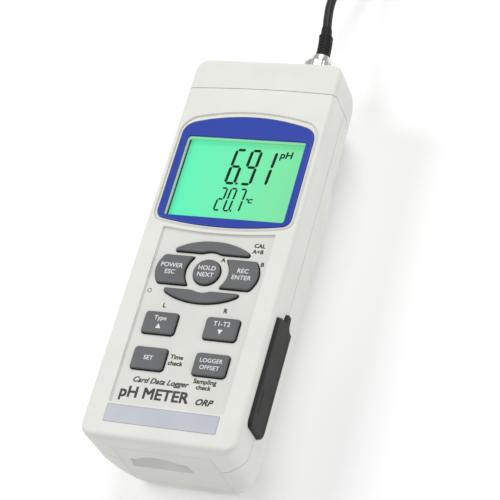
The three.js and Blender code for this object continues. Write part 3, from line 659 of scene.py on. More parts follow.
handle_profile = [(2.1, 282.6), (2.9, 282.9), (3.2, 284.5)]
for rib in range(5):
    start = 285.2 + rib * 1.35
    swell = 3.2 + rib * 0.16
    low = swell - 0.45
    handle_profile += [(low, start), (low, start + 0.45), (swell, start + 0.6), (swell, start + 1.2)]
handle_profile += [(4.0, 292), (6.6, 292.2), (7.4, 292.9), (7.9, 294.4), (8.0, 296.5)]
for groove in range(6):
    start = 300 + groove * 2.4
    handle_profile += [(8.0, start), (7.5, start + 0.35), (7.5, start + 0.95), (8.0, start + 1.3)]
handle_profile += [(8.0, 316.5), (7.7, 318), (7.1, 319.2), (6.6, 319.7)]
two_tone = [probe_blue, boot_rubber]
handle = fitting(handle_profile, "probe_handle", two_tone, "electrode_handle", ELECTRODE, 56)
paint(handle, 1, lambda at, normal: at[1] < 292.05)
stem_profile = [
    (5.6, 320), (6, 320.4), (6, 325), (5.8, 325.3), (5.8, 326.1), (6, 326.4), (6, 390.5), (5.6, 392),
    (4.4, 392.3), (4.4, 394), (4.2, 396.2), (3.3, 397.3), (1.8, 397.9), (0.4, 398),
]
stem = fitting(stem_profile, "probe_stem", probe_blue, "electrode_stem", ELECTRODE, 56)
cap_profile = [
    (6.3, 382), (6.9, 382), (8.0, 382.3), (8.2, 383), (8.2, 385.4), (7.7, 385.9), (7.7, 387),
    (7.9, 408), (7.6, 410.3), (6.4, 411.6), (4.2, 412), (0.4, 412), (0.4, 400), (6.0, 400), (6.3, 399),
    (6.3, 382),
]
soak_cap = fitting(cap_profile, "probe_soak_cap", cap_clear, "electrode_cap", ELECTRODE)

# ---- plug and sockets


def knurled_sleeve():
    """The plug's locking sleeve, with flutes round its grip."""
    flutes = 30
    profile = [
        (5.2, 179.6), (6.9, 179.6), (7.2, 179.9), (7.2, 183.2), (6.8, 183.5), (6.8, 183.9),
        (7.2, 184.2), (7.2, 188.2), (6.8, 189), (4.8, 189), (4.8, 188.4), (5.2, 188.4), (5.2, 179.6),
    ]
    bm = turned(profile, "Y", PLUG_AXIS, flutes * 4)
    for vertex in bm.verts:
        offset = Vector((vertex.co.x - PROBE_X, vertex.co.z - SOCKET_HEIGHT))
        if 184.1 < vertex.co.y < 188.5 and offset.length > 6.9:
            turn = math.atan2(offset.y, offset.x) * flutes
            pull = 1 - 0.025 * (0.5 + 0.5 * math.cos(turn))
            vertex.co.x = PROBE_X + offset.x * pull
            vertex.co.z = SOCKET_HEIGHT + offset.y * pull
    return bm


sleeve = piece(knurled_sleeve(), "plug_locking_sleeve", "plug_sleeve", nickel, ("plug_sleeve",))
body_profile = [
    (3.7, 181.5), (3.7, 188.4), (4.1, 188.5), (4.4, 188.9), (4.4, 190.2), (4.1, 190.4), (4.1, 190.9),
    (4.4, 191.1), (4.4, 192.9), (4.1, 193.4), (2.5, 193.4),
]
plug = fitting(body_profile, "plug_inner_body", nickel, "plug_body", PLUG_AXIS)
boot_profile = [(2.6, 193.7), (3.0, 193.8), (3.1, 194.2), (3.1, 196.4)]
for rib in range(5):
    start = 196.8 + rib * 1.6
    boot_profile += [(2.95, start), (2.95, start + 0.55), (3.1, start + 0.7), (3.1, start + 1.3)]
boot_profile += [(3.1, 204.8), (2.75, 205.3), (2.45, 206.2), (2.35, 208.6), (2.2, 209.5)]
boot_form = turned(boot_profile, "Y", PLUG_AXIS, 40)
for vertex in boot_form.verts:
    bent = min(max(vertex.co.y - BEND_START, 0), BEND_LENGTH)
    straight = max(vertex.co.y - BEND_START - BEND_LENGTH, 0)
    vertex.co.x -= BEND_RATE * (bent**2 + 2 * BEND_LENGTH * straight)
boot = piece(boot_form, "cable_strain_boot", "case", boot_rubber, ("cable_boot",))
socket_profile = [(3, 166), (3, 171), (7, 171), (7, 174.2), (4.8, 174.2), (4.8, 178.5)]
for thread in range(5):
    start = 178.6 + thread * 0.5
    socket_profile += [(4.8, start), (4.6, start + 0.12), (4.6, start + 0.3), (4.8, start + 0.42)]
socket_profile += [(4.8, 187.7), (4.6, 188), (4.1, 188), (4.1, 181), (1.2, 181)]
fitting(socket_profile, "probe_socket_barrel", nickel, "probe_socket", PLUG_AXIS)
nut_outline = softened(circle((0, 0), 7.6, 6), 1.1, 4)


def hex_nut(y0, y1):
    rings = []
    for inset, y in ((0.3, y0), (0, y0 + 0.25), (0, y1 - 0.25), (0.35, y1)):
        rings.append([(PROBE_X + x, y, SOCKET_HEIGHT + z) for x, z in inset_outline(nut_outline, inset)])
    return loft(rings)


nut = carve(hex_nut(177.3, 179.2), [rod("Y", PLUG_AXIS, 176, 180.5, 5.2)])
piece(nut, "probe_socket_hex", "case", nickel, ("probe_socket_nut",))
jack_profile = [
    (4.4, 162), (4.4, 174.2), (3, 174.2), (3, 177.3), (4.7, 177.3), (5, 177.6), (5, 179.6), (4.6, 180),
    (2.3, 180), (1.8, 179.6), (1.8, 165), (0.6, 165), (0.6, 162.1), (4.4, 162),
]
jack_at = (TEMPERATURE_X, SOCKET_HEIGHT)
fitting(jack_profile, "temperature_jack", black_plastic, "temperature_socket", jack_at, 40)

# ---- case forms


def round_off(distance, radius):
    """How much a rounded end takes off at a distance from that end."""
    if distance >= radius:
        return 0
    return radius - math.sqrt(radius**2 - (radius - distance) ** 2)


def back_height(y):
    return UPPER_BACK_RISE * eased(share(y, *BACK_STEP))


def case_section(y, inset, edge_steps, curve_steps):
    """One closed section across the case, drawn in by inset."""
    end = min(y, BODY_LENGTH - y)
    narrowing, thinning = (round_off(end, radius) for radius in (END_CORNER_RADIUS, END_EDGE_RADIUS))
    half = BODY_HALF_WIDTH - narrowing - inset
    face = BODY_THICKNESS - thinning - inset
    back = back_height(y) + thinning + inset
    foot = back_height(y) + SIDE_WALL_FOOT
    edge = max(FACE_EDGE_RADIUS - inset, 0.4)
    right = []
    for i in range(edge_steps + 1):
        angle = math.pi / 2 * (1 - i / edge_steps)
        right.append((half - edge + edge * math.cos(angle), face - edge + edge * math.sin(angle)))
    pull = half - (BODY_HALF_WIDTH - BACK_CURVE_PULL[0])
    flat = FLAT_BACK_HALF_WIDTH - narrowing - inset / 2
    right += bezier_points((half, foot), (pull, back + BACK_CURVE_PULL[1]), (flat, back), curve_steps)
    right.append((flat, back))
    return [(x, y, z) for x, z in right] + [(-x, y, z) for x, z in reversed(right)]


def case_form(inset, start, edge_steps=8, curve_steps=14):
    near = [d for d in (0, 0.15, 0.45, 0.9, 1.5, 2.2, 3.0, 4.2, 6) if d > start]
    step = [BACK_STEP[0] + (BACK_STEP[1] - BACK_STEP[0]) * k / 12 for k in range(13)]
    lengths = [start, *near, *step, *(BODY_LENGTH - d for d in reversed(near)), BODY_LENGTH - start]
    return loft([case_section(y, inset, edge_steps, curve_steps) for y in lengths])


def above_parting(lift):
    """The space above the parting line, which steps down from the sides to the ends' middle."""
    side = PARTING_SIDE + lift
    points = [(-40, side), (-31.5, side)]
    steps = 8
    for hand in (-1, 1):
        for i in range(steps + 1):
            t = i / steps if hand < 0 else 1 - i / steps
            points.append((hand * (31.2 - 9.4 * t),
                PARTING_SIDE - (PARTING_SIDE - PARTING_END) * eased(t) + lift))
    return run(points + [(31.5, side), (40, side), (40, 60), (-40, 60)], "Y", (-2, 200))


def beyond_seam(lift, toward_cap):
    """The space on one side of the cap's seam, which bows a little towards the socket end."""
    edge = []
    steps = 16
    for i in range(steps + 1):
        x = -40 + 80 * i / steps
        edge.append((x, CAP_SEAM + lift + CAP_SEAM_BOW * (1 - (x / BODY_HALF_WIDTH) ** 2)))
    far = 200 if toward_cap else -5
    outline = edge + [(40, far), (-40, far)]
    return run(outline if toward_cap else outline[::-1], "Z", (-6, 60))


def lens_outline(grow):
    """The display lens: straight sides, an arched top and a slightly bowed lower edge, counter-clockwise."""
    half = 29 + grow
    low = 97.5 - grow
    dip = 95.3 - grow
    crown = 147.9 + grow
    corner = 3.6 + grow
    foot = low + corner + 0.6
    shoulder = 138
    pull = 143.4
    top = 144.6 + grow
    legs = [
        ((0, 2 * dip - low), (half - corner, low), 24),
        ((half, low + 0.6), (half, foot), 10),
        ((half, 120), (half, shoulder), 6),
        ((half, pull), (half - 5.5, top), 12),
        ((0, 2 * crown - top), (-half + 5.5, top), 32),
        ((-half, pull), (-half, shoulder), 12),
        ((-half, 120), (-half, foot), 6),
        ((-half, low + 0.6), (-half + corner, low), 10),
    ]
    return chain((-half + corner, low), legs)


def opening_outline(grow):
    return rounded_box(0, 118.5, 2 * (26.15 + grow), 38.4 + 2 * grow, 1.2, 6)


def keypad_outline():
    points = [(-24, 15), (24, 15)]
    points += bezier_points((24.4, 93.9), (0, 90.7), (-24.4, 93.9), 20) + [(-24.4, 93.9)]
    return softened(points, 0.8, 4)


def lens_groove():
    """The moulded groove round the lens: a wide outer slope and a narrow rising rim, widest at the top."""
    section = [
        (0.5, 0.6, 46), (0.55, 0.65, 45.0), (0.75, 0.85, 44.85), (1.45, 2.4, 44.1), (1.6, 2.6, 44.05),
        (1.72, 2.75, 45.0), (1.72, 2.75, 46),
    ]
    rings = []
    for side, crown, z in section:
        ring = []
        for x, y in lens_outline(side):
            ring.append((x, y + (crown - side) * eased(share(y, 126, 146)), z))
        rings.append(ring)
    return loft(rings, wrap=True)


# ---- key outlines


def on_ring(points, across, up):
    """An outline placed on the ring's centre, mirrored where across or up is -1."""
    points = [(RING_CENTRE[0] + across * x, RING_CENTRE[1] + up * y) for x, y in points]
    return points if across * up > 0 else points[::-1]


def side_key(side, grow):
    """A key at the ring's left or right: an outer arc of the oval and a hollow inner edge."""
    half = 6.5 + grow
    bore = RING_BORE - grow
    near = RING_BORE - 2.3 - grow
    wide, high = RING_RADII[0] + grow, RING_RADII[1] + grow
    points = []
    steps = 14
    for i in range(steps + 1):
        dy = -half + 2 * half * i / steps
        points.append((wide * math.sqrt(1 - (dy / high) ** 2), dy))
    points.append((near, half))
    for i in range(steps + 1):
        dy = (half - 1) * (1 - 2 * i / steps)
        points.append((math.sqrt(bore**2 - dy**2), dy))
    points.append((near, -half))
    return on_ring(points, side, 1)


def arc_key(side, grow):
    """A key above or below the ring's centre, with a notch that follows the round middle key."""
    floor_at = 8.4 - grow
    bore = RING_BORE - grow
    half = 15.8 + grow
    wide, high = RING_RADII[0] + grow, RING_RADII[1] + grow
    notch = math.sqrt(bore**2 - floor_at**2)
    points = [(-half, floor_at)]
    for i in range(9):
        x = -notch + 2 * notch * i / 8
        points.append((x, math.sqrt(bore**2 - x**2)))
    points.append((half, floor_at))
    for i in range(33):
        x = half - 2 * half * i / 32
        points.append((x, high * math.sqrt(1 - (x / wide) ** 2)))
    return on_ring(points, 1, side)


def square_key(side, row, grow):
    x, width, height, radius = SQUARE_KEY
    return rounded_box(side * x, SQUARE_ROWS[row], width + 2 * grow, height + 2 * grow, radius + grow)


KEYS = {
    "key_power": lambda grow: softened(side_key(-1, grow), 0.9),
    "key_record": lambda grow: softened(side_key(1, grow), 0.9),
    "key_hold": lambda grow: circle(RING_CENTRE, HOLD_RADIUS + grow, 56),
    "key_arc_upper": lambda grow: softened(arc_key(1, grow), 1.2),
    "key_arc_lower": lambda grow: softened(arc_key(-1, grow), 1.2),
    "key_type": lambda grow: square_key(-1, 0, grow),
    "key_channel": lambda grow: square_key(1, 0, grow),
    "key_set": lambda grow: square_key(-1, 1, grow),
    "key_logger": lambda grow: square_key(1, 1, grow),
}
KEY_LEVELS = [
    (-0.55, 41), (-0.55, 42.25), (0.02, 42.3), (0.02, 44.7), (0.1, 44.95), (0.28, 45.13), (0.6, 45.24),
    (0.95, 45.29),
]

for name, outline_of in KEYS.items():
    form = prism(outline_of(0), KEY_LEVELS)
    cap = piece(form, f"{name}_cap", name, [key_grey, key_black], (name,), smooth=50)
    paint(cap, 1, lambda at, normal: at[2] < 44.72)

# ---- shells

CASE_SCREW_X = 27.5
CASE_SCREW_ROWS = (8.6, 150)
SCREW_SITES = [(side * CASE_SCREW_X, y) for y in CASE_SCREW_ROWS for side in (-1, 1)]
TRIPOD_Y = 150
PORT_HEIGHT = 36.2
LABEL_CENTRE = (-0.45, 10.45)
COVER_CENTRE = (0, 57.5)
COVER_SIZE = (46.4, 101)
LATCH_CENTRE = (0, 112)
OVER = 47

flap_corners = [
    (15.3, 26.6), (17.5, 26), (59.6, 26), (60, 29), (61.2, 30.2), (65, 30.8), (65, 33.6), (60.9, 34.4),
    (60.4, 39.4), (59.4, 41.6), (14.9, 41.6), (13.5, 40.2), (13.5, 28.6),
]
FLAP_OUTLINE = softened(flap_corners, 0.5, 4)


def hollow_case():
    return carve(case_form(0, 0), [case_form(WALL, WALL)])


def flap_space():
    return prism(FLAP_OUTLINE, ((-0.24, 32), (-0.24, 40)), "X")


def end_plate_space(grow):
    return box_mesh(-21.5 - grow, 20.3 + grow, -1, 5.2 + grow, 5.5 - grow, 36 + grow)


def front_shell():
    shell = carve(hollow_case(), [above_parting(GAP / 2)], "INTERSECT")
    inside = BODY_THICKNESS - WALL
    carve(shell, [rod("Z", site, PARTING_SIDE + 0.7, inside + 0.4, 3.3, 20) for site in SCREW_SITES], "UNION")
    label_rim = ((0, 44.1), (0, 44.9), (-0.1, 45.01), (-0.25, 45.08), (-0.25, OVER))
    tray_rim = ((0.25, RECESS_FLOOR), (0, 44.18), (0, 44.86), (-0.1, 44.97), (-0.3, 45.06), (-0.3, OVER))
    key_rim = ((0, 41.6), (0, 43.88), (-0.14, 44.02), (-0.14, 44.6))
    tools = [rod("Z", site, 29, inside - 1, 1.5, 16) for site in SCREW_SITES]
    tools += [
        beyond_seam(-GAP / 2, True),
        prism(lens_outline(GAP), ((0, 44.1), (0, OVER))),
        lens_groove(),
        prism(opening_outline(-0.25), ((0, inside - 1), (0, 43.9), (-0.12, 44.02), (-0.12, 44.6))),
        prism(keypad_outline(), tray_rim),
        prism(rounded_box(*LABEL_CENTRE, 46.9, 7.5, 0.4, 3), label_rim),
        flap_space(),
        end_plate_space(GAP / 2),
    ]
    tools += [prism(outline_of(GAP), key_rim) for outline_of in KEYS.values()]
    for y, radius in ((23, 1.6), (37, 3.3), (53, 4.3)):
        bore = ((radius, 29), (radius, 31.8), (radius + 0.3, 32.1), (radius + 0.3, 34))
        tools.append(turned(bore, "X", (y, PORT_HEIGHT), 32))
    return carve(shell, tools)


def rear_shell():
    bosses = [rod("Z", site, 0.2, PARTING_SIDE - 0.6, 3.35, 20) for site in SCREW_SITES]
    bosses.append(rod("Z", (0, TRIPOD_Y), UPPER_BACK_RISE + 0.2, 16, 7, 32))
    bosses.append(box_mesh(-8, 8, 109.1, 119.3, 2.1, 4))
    shell = carve(hollow_case(), bosses, "UNION")
    carve(shell, [case_form(0, 0)], "INTERSECT")
    tools = [above_parting(-GAP / 2), beyond_seam(-GAP / 2, True)]
    for x, y in SCREW_SITES:
        seat = back_height(y) + 12
        tools.append(rod("Z", (x, y), -1, 32, 1.8, 16))
        tools.append(turned(((2.6, seat), (2.6, back_height(y) + 1), (3.1, -1)), "Z", (x, y), 28))
    wide, long = COVER_SIZE
    tools += [
        prism(rounded_box(*COVER_CENTRE, wide + 2 * GAP, long + 2 * GAP, 2.4), ((0, -1), (0, 8))),
        prism(rounded_box(*LATCH_CENTRE, 12 + 2 * GAP, 13.8, 2.4), ((0, -1), (0, 2.3))),
        turned(((3.7, -1), (3.4, 5.2), (3.4, 6.5)), "Z", (0, TRIPOD_Y), 32),
        rod("Z", (0, TRIPOD_Y), 5.7, 20, 5.3, 32),
        flap_space(),
        end_plate_space(GAP / 2),
    ]
    return carve(shell, tools)


def top_cap():
    socket_bore = turned(((5.1, 170), (5.1, 176.6), (5.4, 176.9), (5.6, 178)), "Y", PLUG_AXIS, 40)
    jack_bore = rod("Y", (TEMPERATURE_X, SOCKET_HEIGHT), 170, 180, 3.3)
    return carve(hollow_case(), [beyond_seam(GAP / 2, False), socket_bore, jack_bore])


def thumb_scoop():
    """An arched hollow that slopes in to the card's slot."""
    ramp = [(-2, 17), (1.2, 20.4), (2.8, 22.4), (3.5, 23.7), (3.6, 27), (2.6, 28.6), (-2, 32.4)]
    hollow = run(ramp, "X", (CARD_CENTRE - 14, CARD_CENTRE + 14))
    arch = [(-13, 14), (13, 14), (13, 22.4), (12.6, 23.6)]
    arch += bezier_points((12.2, 24), (0, 37), (-12.2, 24), 24) + [(-12.2, 24), (-12.6, 23.6), (-13, 22.4)]
    return carve(hollow, [run([(CARD_CENTRE + x, z) for x, z in arch], "Y", (-3, 5))], "INTERSECT")


def end_plate():
    plate = carve(case_form(0, 0), [end_plate_space(0)], "INTERSECT")
    slot = run(rounded_box(CARD_CENTRE, 25.35, 24.6, 2.7, 0.5, 3), "Y", (6, -2))
    return carve(plate, [thumb_scoop(), slot])


def on_tray(at, normal):
    return at[2] < RECESS_FLOOR + 0.1 and normal.z > 0.9 and 14 < at[1] < 94 and abs(at[0]) < 25


def on_lit_wall(at, normal):
    """The opening's wall above the display, given a painted green glow for the display's light on it."""
    return 42.4 < at[2] < 44.2 and normal.y < -0.7 and 137 < at[1] < 138.2 and abs(at[0]) < 27


face_materials_and_painted_glow = [shell_white, tray_white, painted_backlight_glow]
front = piece(front_shell(), "case_front", "case", face_materials_and_painted_glow, ("front_shell",))
paint(front, 1, on_tray)
paint(front, 2, on_lit_wall)
piece(rear_shell(), "case_rear", "case", shell_white, ("rear_shell",))
piece(top_cap(), "connector_cap", "case", cap_white, ("top_cap",))
piece(end_plate(), "card_end_plate", "case", cap_white, ("end_plate",))

# ---- display

lens_levels = ((0, 44.3), (0, 44.95), (0.08, 45.08), (0.25, 45.17), (0.5, LENS_TOP))
lens_opening = ((0, 43), (0, 45.06), (-0.1, 45.16), (-0.25, 45.21), (-0.3, 46))
bezel = carve(prism(lens_outline(0), lens_levels), [prism(opening_outline(0), lens_opening)])
piece(bezel, "display_lens_frame", "case", lens_blue, ("display_bezel",))
window = prism(opening_outline(-GAP), ((0.15, 44.4), (0, 44.5), (0, 44.95), (0.15, 45.1)))
piece(window, "display_clear_window", "case", window_clear, ("display_window",))
# Painted shadow: a black ring under the opening's edge. Only a thin band of it shows through the window, at
# the display's left, standing in for the shadow in the gap between the shell's ledge and the display.
shadow_ring = prism(rounded_box(0, 118.5, 55.6, 41.6, 1, 3), ((0, 42.22), (0, 42.52)))
shadow_ring = carve(shadow_ring, [prism(rounded_box(0.5, 119.7, 51.8, 40.6, 1.2, 4), ((0, 42), (0, 43)))])
piece(shadow_ring, "display_shadow_ring", "case", key_black)

SEGMENTS = {"0": "abcdef", "1": "bc", "2": "abdeg", "6": "acdefg", "7": "abc", "9": "abcdfg"}


def digit(shape, left, low, width, height, thick, slant):
    """The dark segments of one seven-segment digit, as flat outlines with pointed ends."""
    gap = thick * 0.14
    half, middle = thick / 2, height / 2
    spans = {
        "a": ((0, height), (width, height)),
        "g": ((0, middle), (width, middle)),
        "d": ((0, 0), (width, 0)),
        "f": ((0, middle), (0, height)),
        "b": ((width, middle), (width, height)),
        "e": ((0, 0), (0, middle)),
        "c": ((width, 0), (width, middle)),
    }
    outlines = []
    for name in SEGMENTS[shape]:
        start, end = (Vector(point) for point in spans[name])
        along = (end - start).normalized()
        across = Vector((-along.y, along.x))
        start, end = start + along * gap, end - along * gap
        corners = [
            start, start + along * half - across * half, end - along * half - across * half, end,
            end - along * half + across * half, start + along * half + across * half,
        ]
        outlines.append([(left + p.x + slant * p.y, low + p.y) for p in corners])
    return outlines


def flat_shapes(outlines, low):
    return merged(*(prism(outline, ((0, low), (0, low + INK))) for outline in outlines))


def reading(shapes, left, low, width, height, pitch, thick, slant):
    outlines = []
    for i, shape in enumerate(shapes):
        outlines += digit(shape, left + pitch * i, low, width, height, thick, slant)
    return outlines


def dot(x, y, size):
    return [(x, y), (x + size, y), (x + size * 1.05, y + size), (x + size * 0.05, y + size)]


# ---- lettering and marks

APART = 0.001


def lettering(entries, z):
    """Raised flat lettering. Each entry is (words, x, y, height of the type, slant, weight).

    Weight thickens the strokes: the words are laid four times, moved that far to each corner. Each
    laying stands a little apart from the others in height, so that no two faces share a plane."""
    forms = []
    corners = ((-1, -1), (1, -1), (1, 1), (-1, 1))
    strokes = [(*entry, *corner) for entry in entries for corner in corners]
    for words, x, y, size, slant, weight, across, up in strokes:
        curve = bpy.data.curves.new("words", "FONT")
        curve.body = words
        curve.size = size
        curve.shear = slant
        curve.align_x = curve.align_y = "CENTER"
        curve.resolution_u = 3
        curve.extrude = INK / 2
        holder = linked("words", curve)
        graph = bpy.context.evaluated_depsgraph_get()
        mesh = bpy.data.meshes.new_from_object(holder.evaluated_get(graph))
        bm = bmesh.new()
        bm.from_mesh(mesh)
        bmesh.ops.remove_doubles(bm, verts=bm.verts, dist=0.001)
        height = z + INK / 2 + (across + 2 * up) * APART
        bmesh.ops.translate(bm, verts=bm.verts, vec=(x + across * weight, y + up * weight, height))
        forms.append(bm)
        bpy.data.objects.remove(holder)
        bpy.data.curves.remove(curve)
        bpy.data.meshes.remove(mesh)
    return merged(*forms)


reading_marks = reading("691", -4.9, 117.6, 4.0, 16.1, 6.75, 1.28, 0.075) + [dot(-0.4, 117.1, 1.0)]
reading_marks += reading("207", -6.4, 104.6, 2.45, 10.5, 4.2, 0.8, 0.09) + [dot(0.72, 104.3, 0.75)]
units = lettering([("pH", 18.1, 132.3, 4.5, 0.1, 0.12), ("°C", 7.5, 109.7, 2.8, 0.15, 0.13)], LCD_TOP)
marks = merged(flat_shapes(reading_marks, LCD_TOP), units)
piece(marks, "display_reading", "case", segment_dark, weld=False)

UPPER_ROW, LOWER_ROW = SQUARE_ROWS
ring_x, ring_y = RING_CENTRE
LEGENDS = {
    "key_power": (("POWER", -15.3, ring_y + 1.5, 2.75), ("ESC", -15.3, ring_y - 1.5, 2.75)),
    "key_hold": (("HOLD", ring_x, ring_y + 1.5, 2.75), ("NEXT", ring_x, ring_y - 1.5, 2.75)),
    "key_record": (("REC", 15.3, ring_y + 1.5, 2.75), ("ENTER", 15.3, ring_y - 1.5, 2.75)),
    "key_type": (("Type", -13.05, UPPER_ROW + 1.9, 2.7),),
    "key_channel": (("T1-T2", 13.05, UPPER_ROW + 1.9, 2.8),),
    "key_set": (("SET", -13.05, LOWER_ROW, 2.6),),
    "key_logger": (("LOGGER", 13.05, LOWER_ROW + 1.5, 2.45), ("OFFSET", 13.05, LOWER_ROW - 1.5, 2.5)),
}
ARROWS = {
    "key_type": [(-14.15, UPPER_ROW - 2.6), (-11.95, UPPER_ROW - 2.6), (-13.05, UPPER_ROW - 0.5)],
    "key_channel": [(11.95, UPPER_ROW - 0.5), (13.05, UPPER_ROW - 2.6), (14.15, UPPER_ROW - 0.5)],
}
for name, entries in LEGENDS.items():
    form = lettering([(*entry, 0, 0.03) for entry in entries], LEGEND_FOOT)
    if name in ARROWS:
        form = merged(form, flat_shapes([ARROWS[name]], LEGEND_FOOT))
    piece(form, f"{name}_legend", name, legend_white, weld=False)

FACE_WORDS = [
    ("CAL", 18.8, 88.6, 2.5, 0, 0.1), ("A+B", 18.7, 85.9, 2.5, 0, 0.1), ("A", 5.25, 80.95, 2.5, 0, 0.1),
    ("B", 22.0, 80.4, 2.5, 0, 0.1), ("L", -13.7, 58.6, 2.7, 0, 0.11), ("R", 12.35, 58.7, 2.7, 0, 0.11),
    ("Time", -1.9, 36.9, 2.6, 0, 0.1), ("check", -1.9, 34.2, 2.6, 0, 0.1),
    ("Sampling", 12.5, 27.9, 2.7, 0, 0.1), ("check", 12.5, 25.4, 2.6, 0, 0.1),
    ("Card Data Logger", -5.7, 25.8, 3.2, 0.3, 0.1), ("pH METER", -6.7, 20.2, 6.45, 0, 0.2),
    ("ORP", 14.2, 19.3, 3.6, 0.3, 0.13),
]
face_words = lettering(FACE_WORDS, RECESS_FLOOR - 0.004)
lamp_ring = ((0.95, 43.99), (0.95, 44.016), (0.68, 44.016), (0.68, 43.99), (0.95, 43.99))
printing = merged(face_words, turned(lamp_ring, "Z", (-21.97, 64.7), 32))
piece(printing, "keypad_printing", "case", print_dark, weld=False)

label_levels = ((0, 44.6), (0, 44.98), (0.06, 45.03), (0.2, 45.05))
label = prism(rounded_box(*LABEL_CENTRE, 46.7, 7.3, 0.3, 3), label_levels)
piece(label, "blank_label", "case", label_grey, ("label_plate",))

# ---- side flap and card


def port_flap():
    """The rubber flap: rounded outside, with a thin bending line and two bungs in hollows on its inside."""
    levels = ((0.12, 32.3), (0, 32.42), (0, 34.05), (0.1, 34.35), (0.35, 34.53), (0.8, 34.6))
    hollows = []
    for y, radius, post in ((37, 3.0, 1.5), (53, 4.0, 2.3)):
        ring = [(post, 32.0), (radius, 32.0), (radius, 33.1), (post, 33.1), (post, 32.0)]
        hollows.append(turned(ring, "X", (y, PORT_HEIGHT), 32))
    hollows.append(run([(34.2, 28.1), (34.9, 28.35), (34.9, 27.85)], "Y", (12, 66)))
    for lift in (-0.9, 0, 0.9):
        grip = [(34.35, 38.6 + lift), (34.9, 39.0 + lift), (34.9, 38.2 + lift)]
        hollows.append(run(grip, "Y", (20, 30)))
    return carve(loose(prism(FLAP_OUTLINE, levels, "X")), hollows)


piece(port_flap(), "side_port_flap", "port_flap", flap_rubber, ("port_flap",))


def memory_card():
    outline = [(-17, 4.2), (7, 4.2), (7, 32.2), (3, 36.2), (-17, 36.2)]
    card = loose(prism(softened(outline, 0.8, 4), ((0.25, 24.3), (0, 24.5), (0, 26.15), (0.25, 26.4))))
    window = prism(rounded_box(CARD_CENTRE, 18, 20, 20, 1, 3), ((0, 26.25), (0, 27)))
    ridge = [box_mesh(CARD_CENTRE - 8, CARD_CENTRE + 8, y, y + 0.5, 26.2, 27) for y in (4.9, 5.8, 6.7)]
    return carve(card, [window, *ridge])


piece(memory_card(), "data_card", "memory_card", black_plastic, ("memory_card",))
button_profile = [(1.2, 29.9), (1.2, 31.5), (1.1, 31.68), (0.85, 31.78), (0.4, 31.8)]
button = turned(button_profile, "X", (23, PORT_HEIGHT), 28)
piece(button, "reset_push", "reset_button", reset_blue, ("reset_button",))

# ---- back: cover, stand, screws, nut and cells

STAND_HINGE = (102, 1.85)
HOOKS = (-14, 14)


def battery_cover():
    """The cover of the cells: a lid with a latch, side walls, a well for the stand and hooks at its foot."""
    cover = loose(prism(rounded_box(*COVER_CENTRE, *COVER_SIZE, 2.1), ((0, -1), (0, 2))))
    sides = carve(box_mesh(-23.1, 23.1, 7.1, 107.9, -1, 4), [case_form(WALL, WALL)])
    added = [
        prism(rounded_box(*LATCH_CENTRE, 12, 13.2, 2.1), ((0, -1), (0, 1.99))),
        sides,
        box_mesh(-21.2, 21.2, 39, 106, 0.5, 4.9),
        *(box_mesh(x - 3, x + 3, 7.6, 10.2, 1.1, 4.02) for x in HOOKS),
    ]
    carve(cover, added, "UNION")
    carve(cover, [case_form(0, 0)], "INTERSECT")
    carve(cover, [box_mesh(x - 3, x + 3, 5.6, 9, 2.72, 4.01) for x in HOOKS], "UNION")
    well = ((-0.25, -1), (-0.25, 0.0), (0, 0.25), (0, 3.7))
    tools = [
        prism(rounded_box(0, 72.25, 34.8, 63.3, 0.8, 3), well),
        rod("X", STAND_HINGE, -20.3, 20.3, 1.1, 20),
        prism([(-2.6, 30.5), (2.6, 30.5), (0, 34.2)], ((-0.2, -1), (0, 0.35))),
    ]
    for k in range(6):
        tools.append(prism(rounded_box(0, 14 + k * 2.2, 22, 1.1, 0.5, 4), ((-0.25, -1), (0, 0.4))))
    return carve(cover, tools)


def stand_leaf():
    outline = [(-17, 41), (-7.2, 41), (-6.6, 43.2), (6.6, 43.2), (7.2, 41), (17, 41), (17, 102), (-17, 102)]
    leaf = prism(softened(outline, 1.4, 5), ((0.2, 0.35), (0, 0.55), (0, 2.35), (0.2, 2.55)))
    leaf = carve(leaf, [rod("X", STAND_HINGE, -17, 17, 1.5, 32)], "UNION")
    tools = [rod("X", STAND_HINGE, -18, 18, 1.05, 24)]
    tools += [prism(rounded_box(x, 70, 5.4, 40, 1.6, 5), ((-0.2, 0), (0, 0.95))) for x in (-9, 0, 9)]
    return carve(leaf, tools)


piece(battery_cover(), "battery_lid", "battery_cover", cap_white, ("battery_cover",))
piece(stand_leaf(), "tilt_stand", "stand", cap_white, ("stand",))


def case_screw(site):
    """A pan-head screw, seen head first from the back, with a cross recess and a coarse thread."""
    under = back_height(site[1]) + 11.9
    profile = [
        (0.5, under - 2), (1.5, under - 1.93), (2.05, under - 1.65), (2.3, under - 1.2),
        (2.3, under - 0.05), (2.25, under), (1.0, under),
    ]
    pitch = 1.1
    for k in range(int((38.2 - under) / pitch)):
        profile += [(0.95, under + 0.4 + k * pitch), (1.2, under + 0.4 + (k + 0.5) * pitch)]
    profile += [(0.9, 38.6), (0.4, 39)]
    x, y = site
    slots = []
    for wide, long in ((0.38, 1.5), (1.5, 0.38)):
        slots.append(box_mesh(x - wide, x + wide, y - long, y + long, under - 3, under - 0.9))
    return carve(turned(profile, "Z", site, 28), slots)


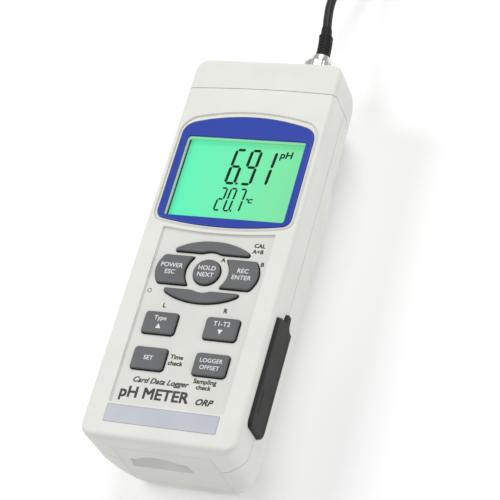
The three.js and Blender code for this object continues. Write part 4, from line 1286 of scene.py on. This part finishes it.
for number, site in enumerate(SCREW_SITES):
    node = f"case_screw_{number // 2 + 1}_{('left', 'right')[number % 2]}"
    piece(case_screw(site), f"{node}_cross", "case", steel, (node,))

nut_profile = [(5, 6.2), (5, 14.3), (4.8, 14.5), (0.5, 14.5), (0.5, 13), (3.3, 13)]
for k in range(5):
    nut_profile += [(3.12, 12.4 - k * 1.27), (3.38, 11.8 - k * 1.27)]
nut_profile += [(3.4, 6.1), (3.6, 6), (4.8, 6), (5, 6.2)]
piece(turned(nut_profile, "Z", (0, TRIPOD_Y), 40), "tripod_insert", "case", brass, ("tripod_nut",))

CELL_LENGTH = 50
tip = [(7.1, 0.3), (7.1, 48.0), (6.7, 48.6), (2.9, 48.6), (2.7, 48.8), (2.7, 49.8), (2.4, CELL_LENGTH)]
upright = [(5.8, 0), (6.8, 0), *tip]
inverted = [(radius, CELL_LENGTH - along) for radius, along in reversed(upright)]
for number in range(6):
    row, column = divmod(number, 3)
    start = 9.7 + row * 50.4
    shape, wrap_ends = (inverted, (1.8, 49.9)) if column == 1 else (upright, (0.1, 48.2))
    cell_profile = [(radius, start + along) for radius, along in shape]
    place_at = ((column - 1) * 14.8, 12.2)
    name, node = f"cell_{number + 1}", f"battery_{number + 1}"
    cell = fitting(cell_profile, name, [cell_wrap, steel], node, place_at, 40)
    paint(cell, 1, lambda at, normal: not wrap_ends[0] <= at[1] - start <= wrap_ends[1])

# ---- parts kept from the CAD model

KEPT = {
    lcd_green: ("lcd_glass",),
    white_plastic: ("backlight", "battery_tray"),
    black_plastic: ("lcd_frame", "microcontroller", "buzzer", "serial_jack", "power_jack", "reset_switch"),
    key_black: ("keypad_mat",),
    board_green: ("keypad_board", "main_board"),
    steel: ("card_socket", "stand_pin"),
    nickel: ("contact_plate_lower", "contact_plate_upper"),
}
for material, name in [(material, name) for material, names in KEPT.items() for name in names]:
    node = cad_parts[name]
    for holder in node.material_slots:
        holder.material = material
    soften = node.modifiers.new("soft_edges", "BEVEL")
    soften.width = 0.00012
    soften.segments = 2
    soften.limit_method = "ANGLE"
    soften.angle_limit = math.radians(40)
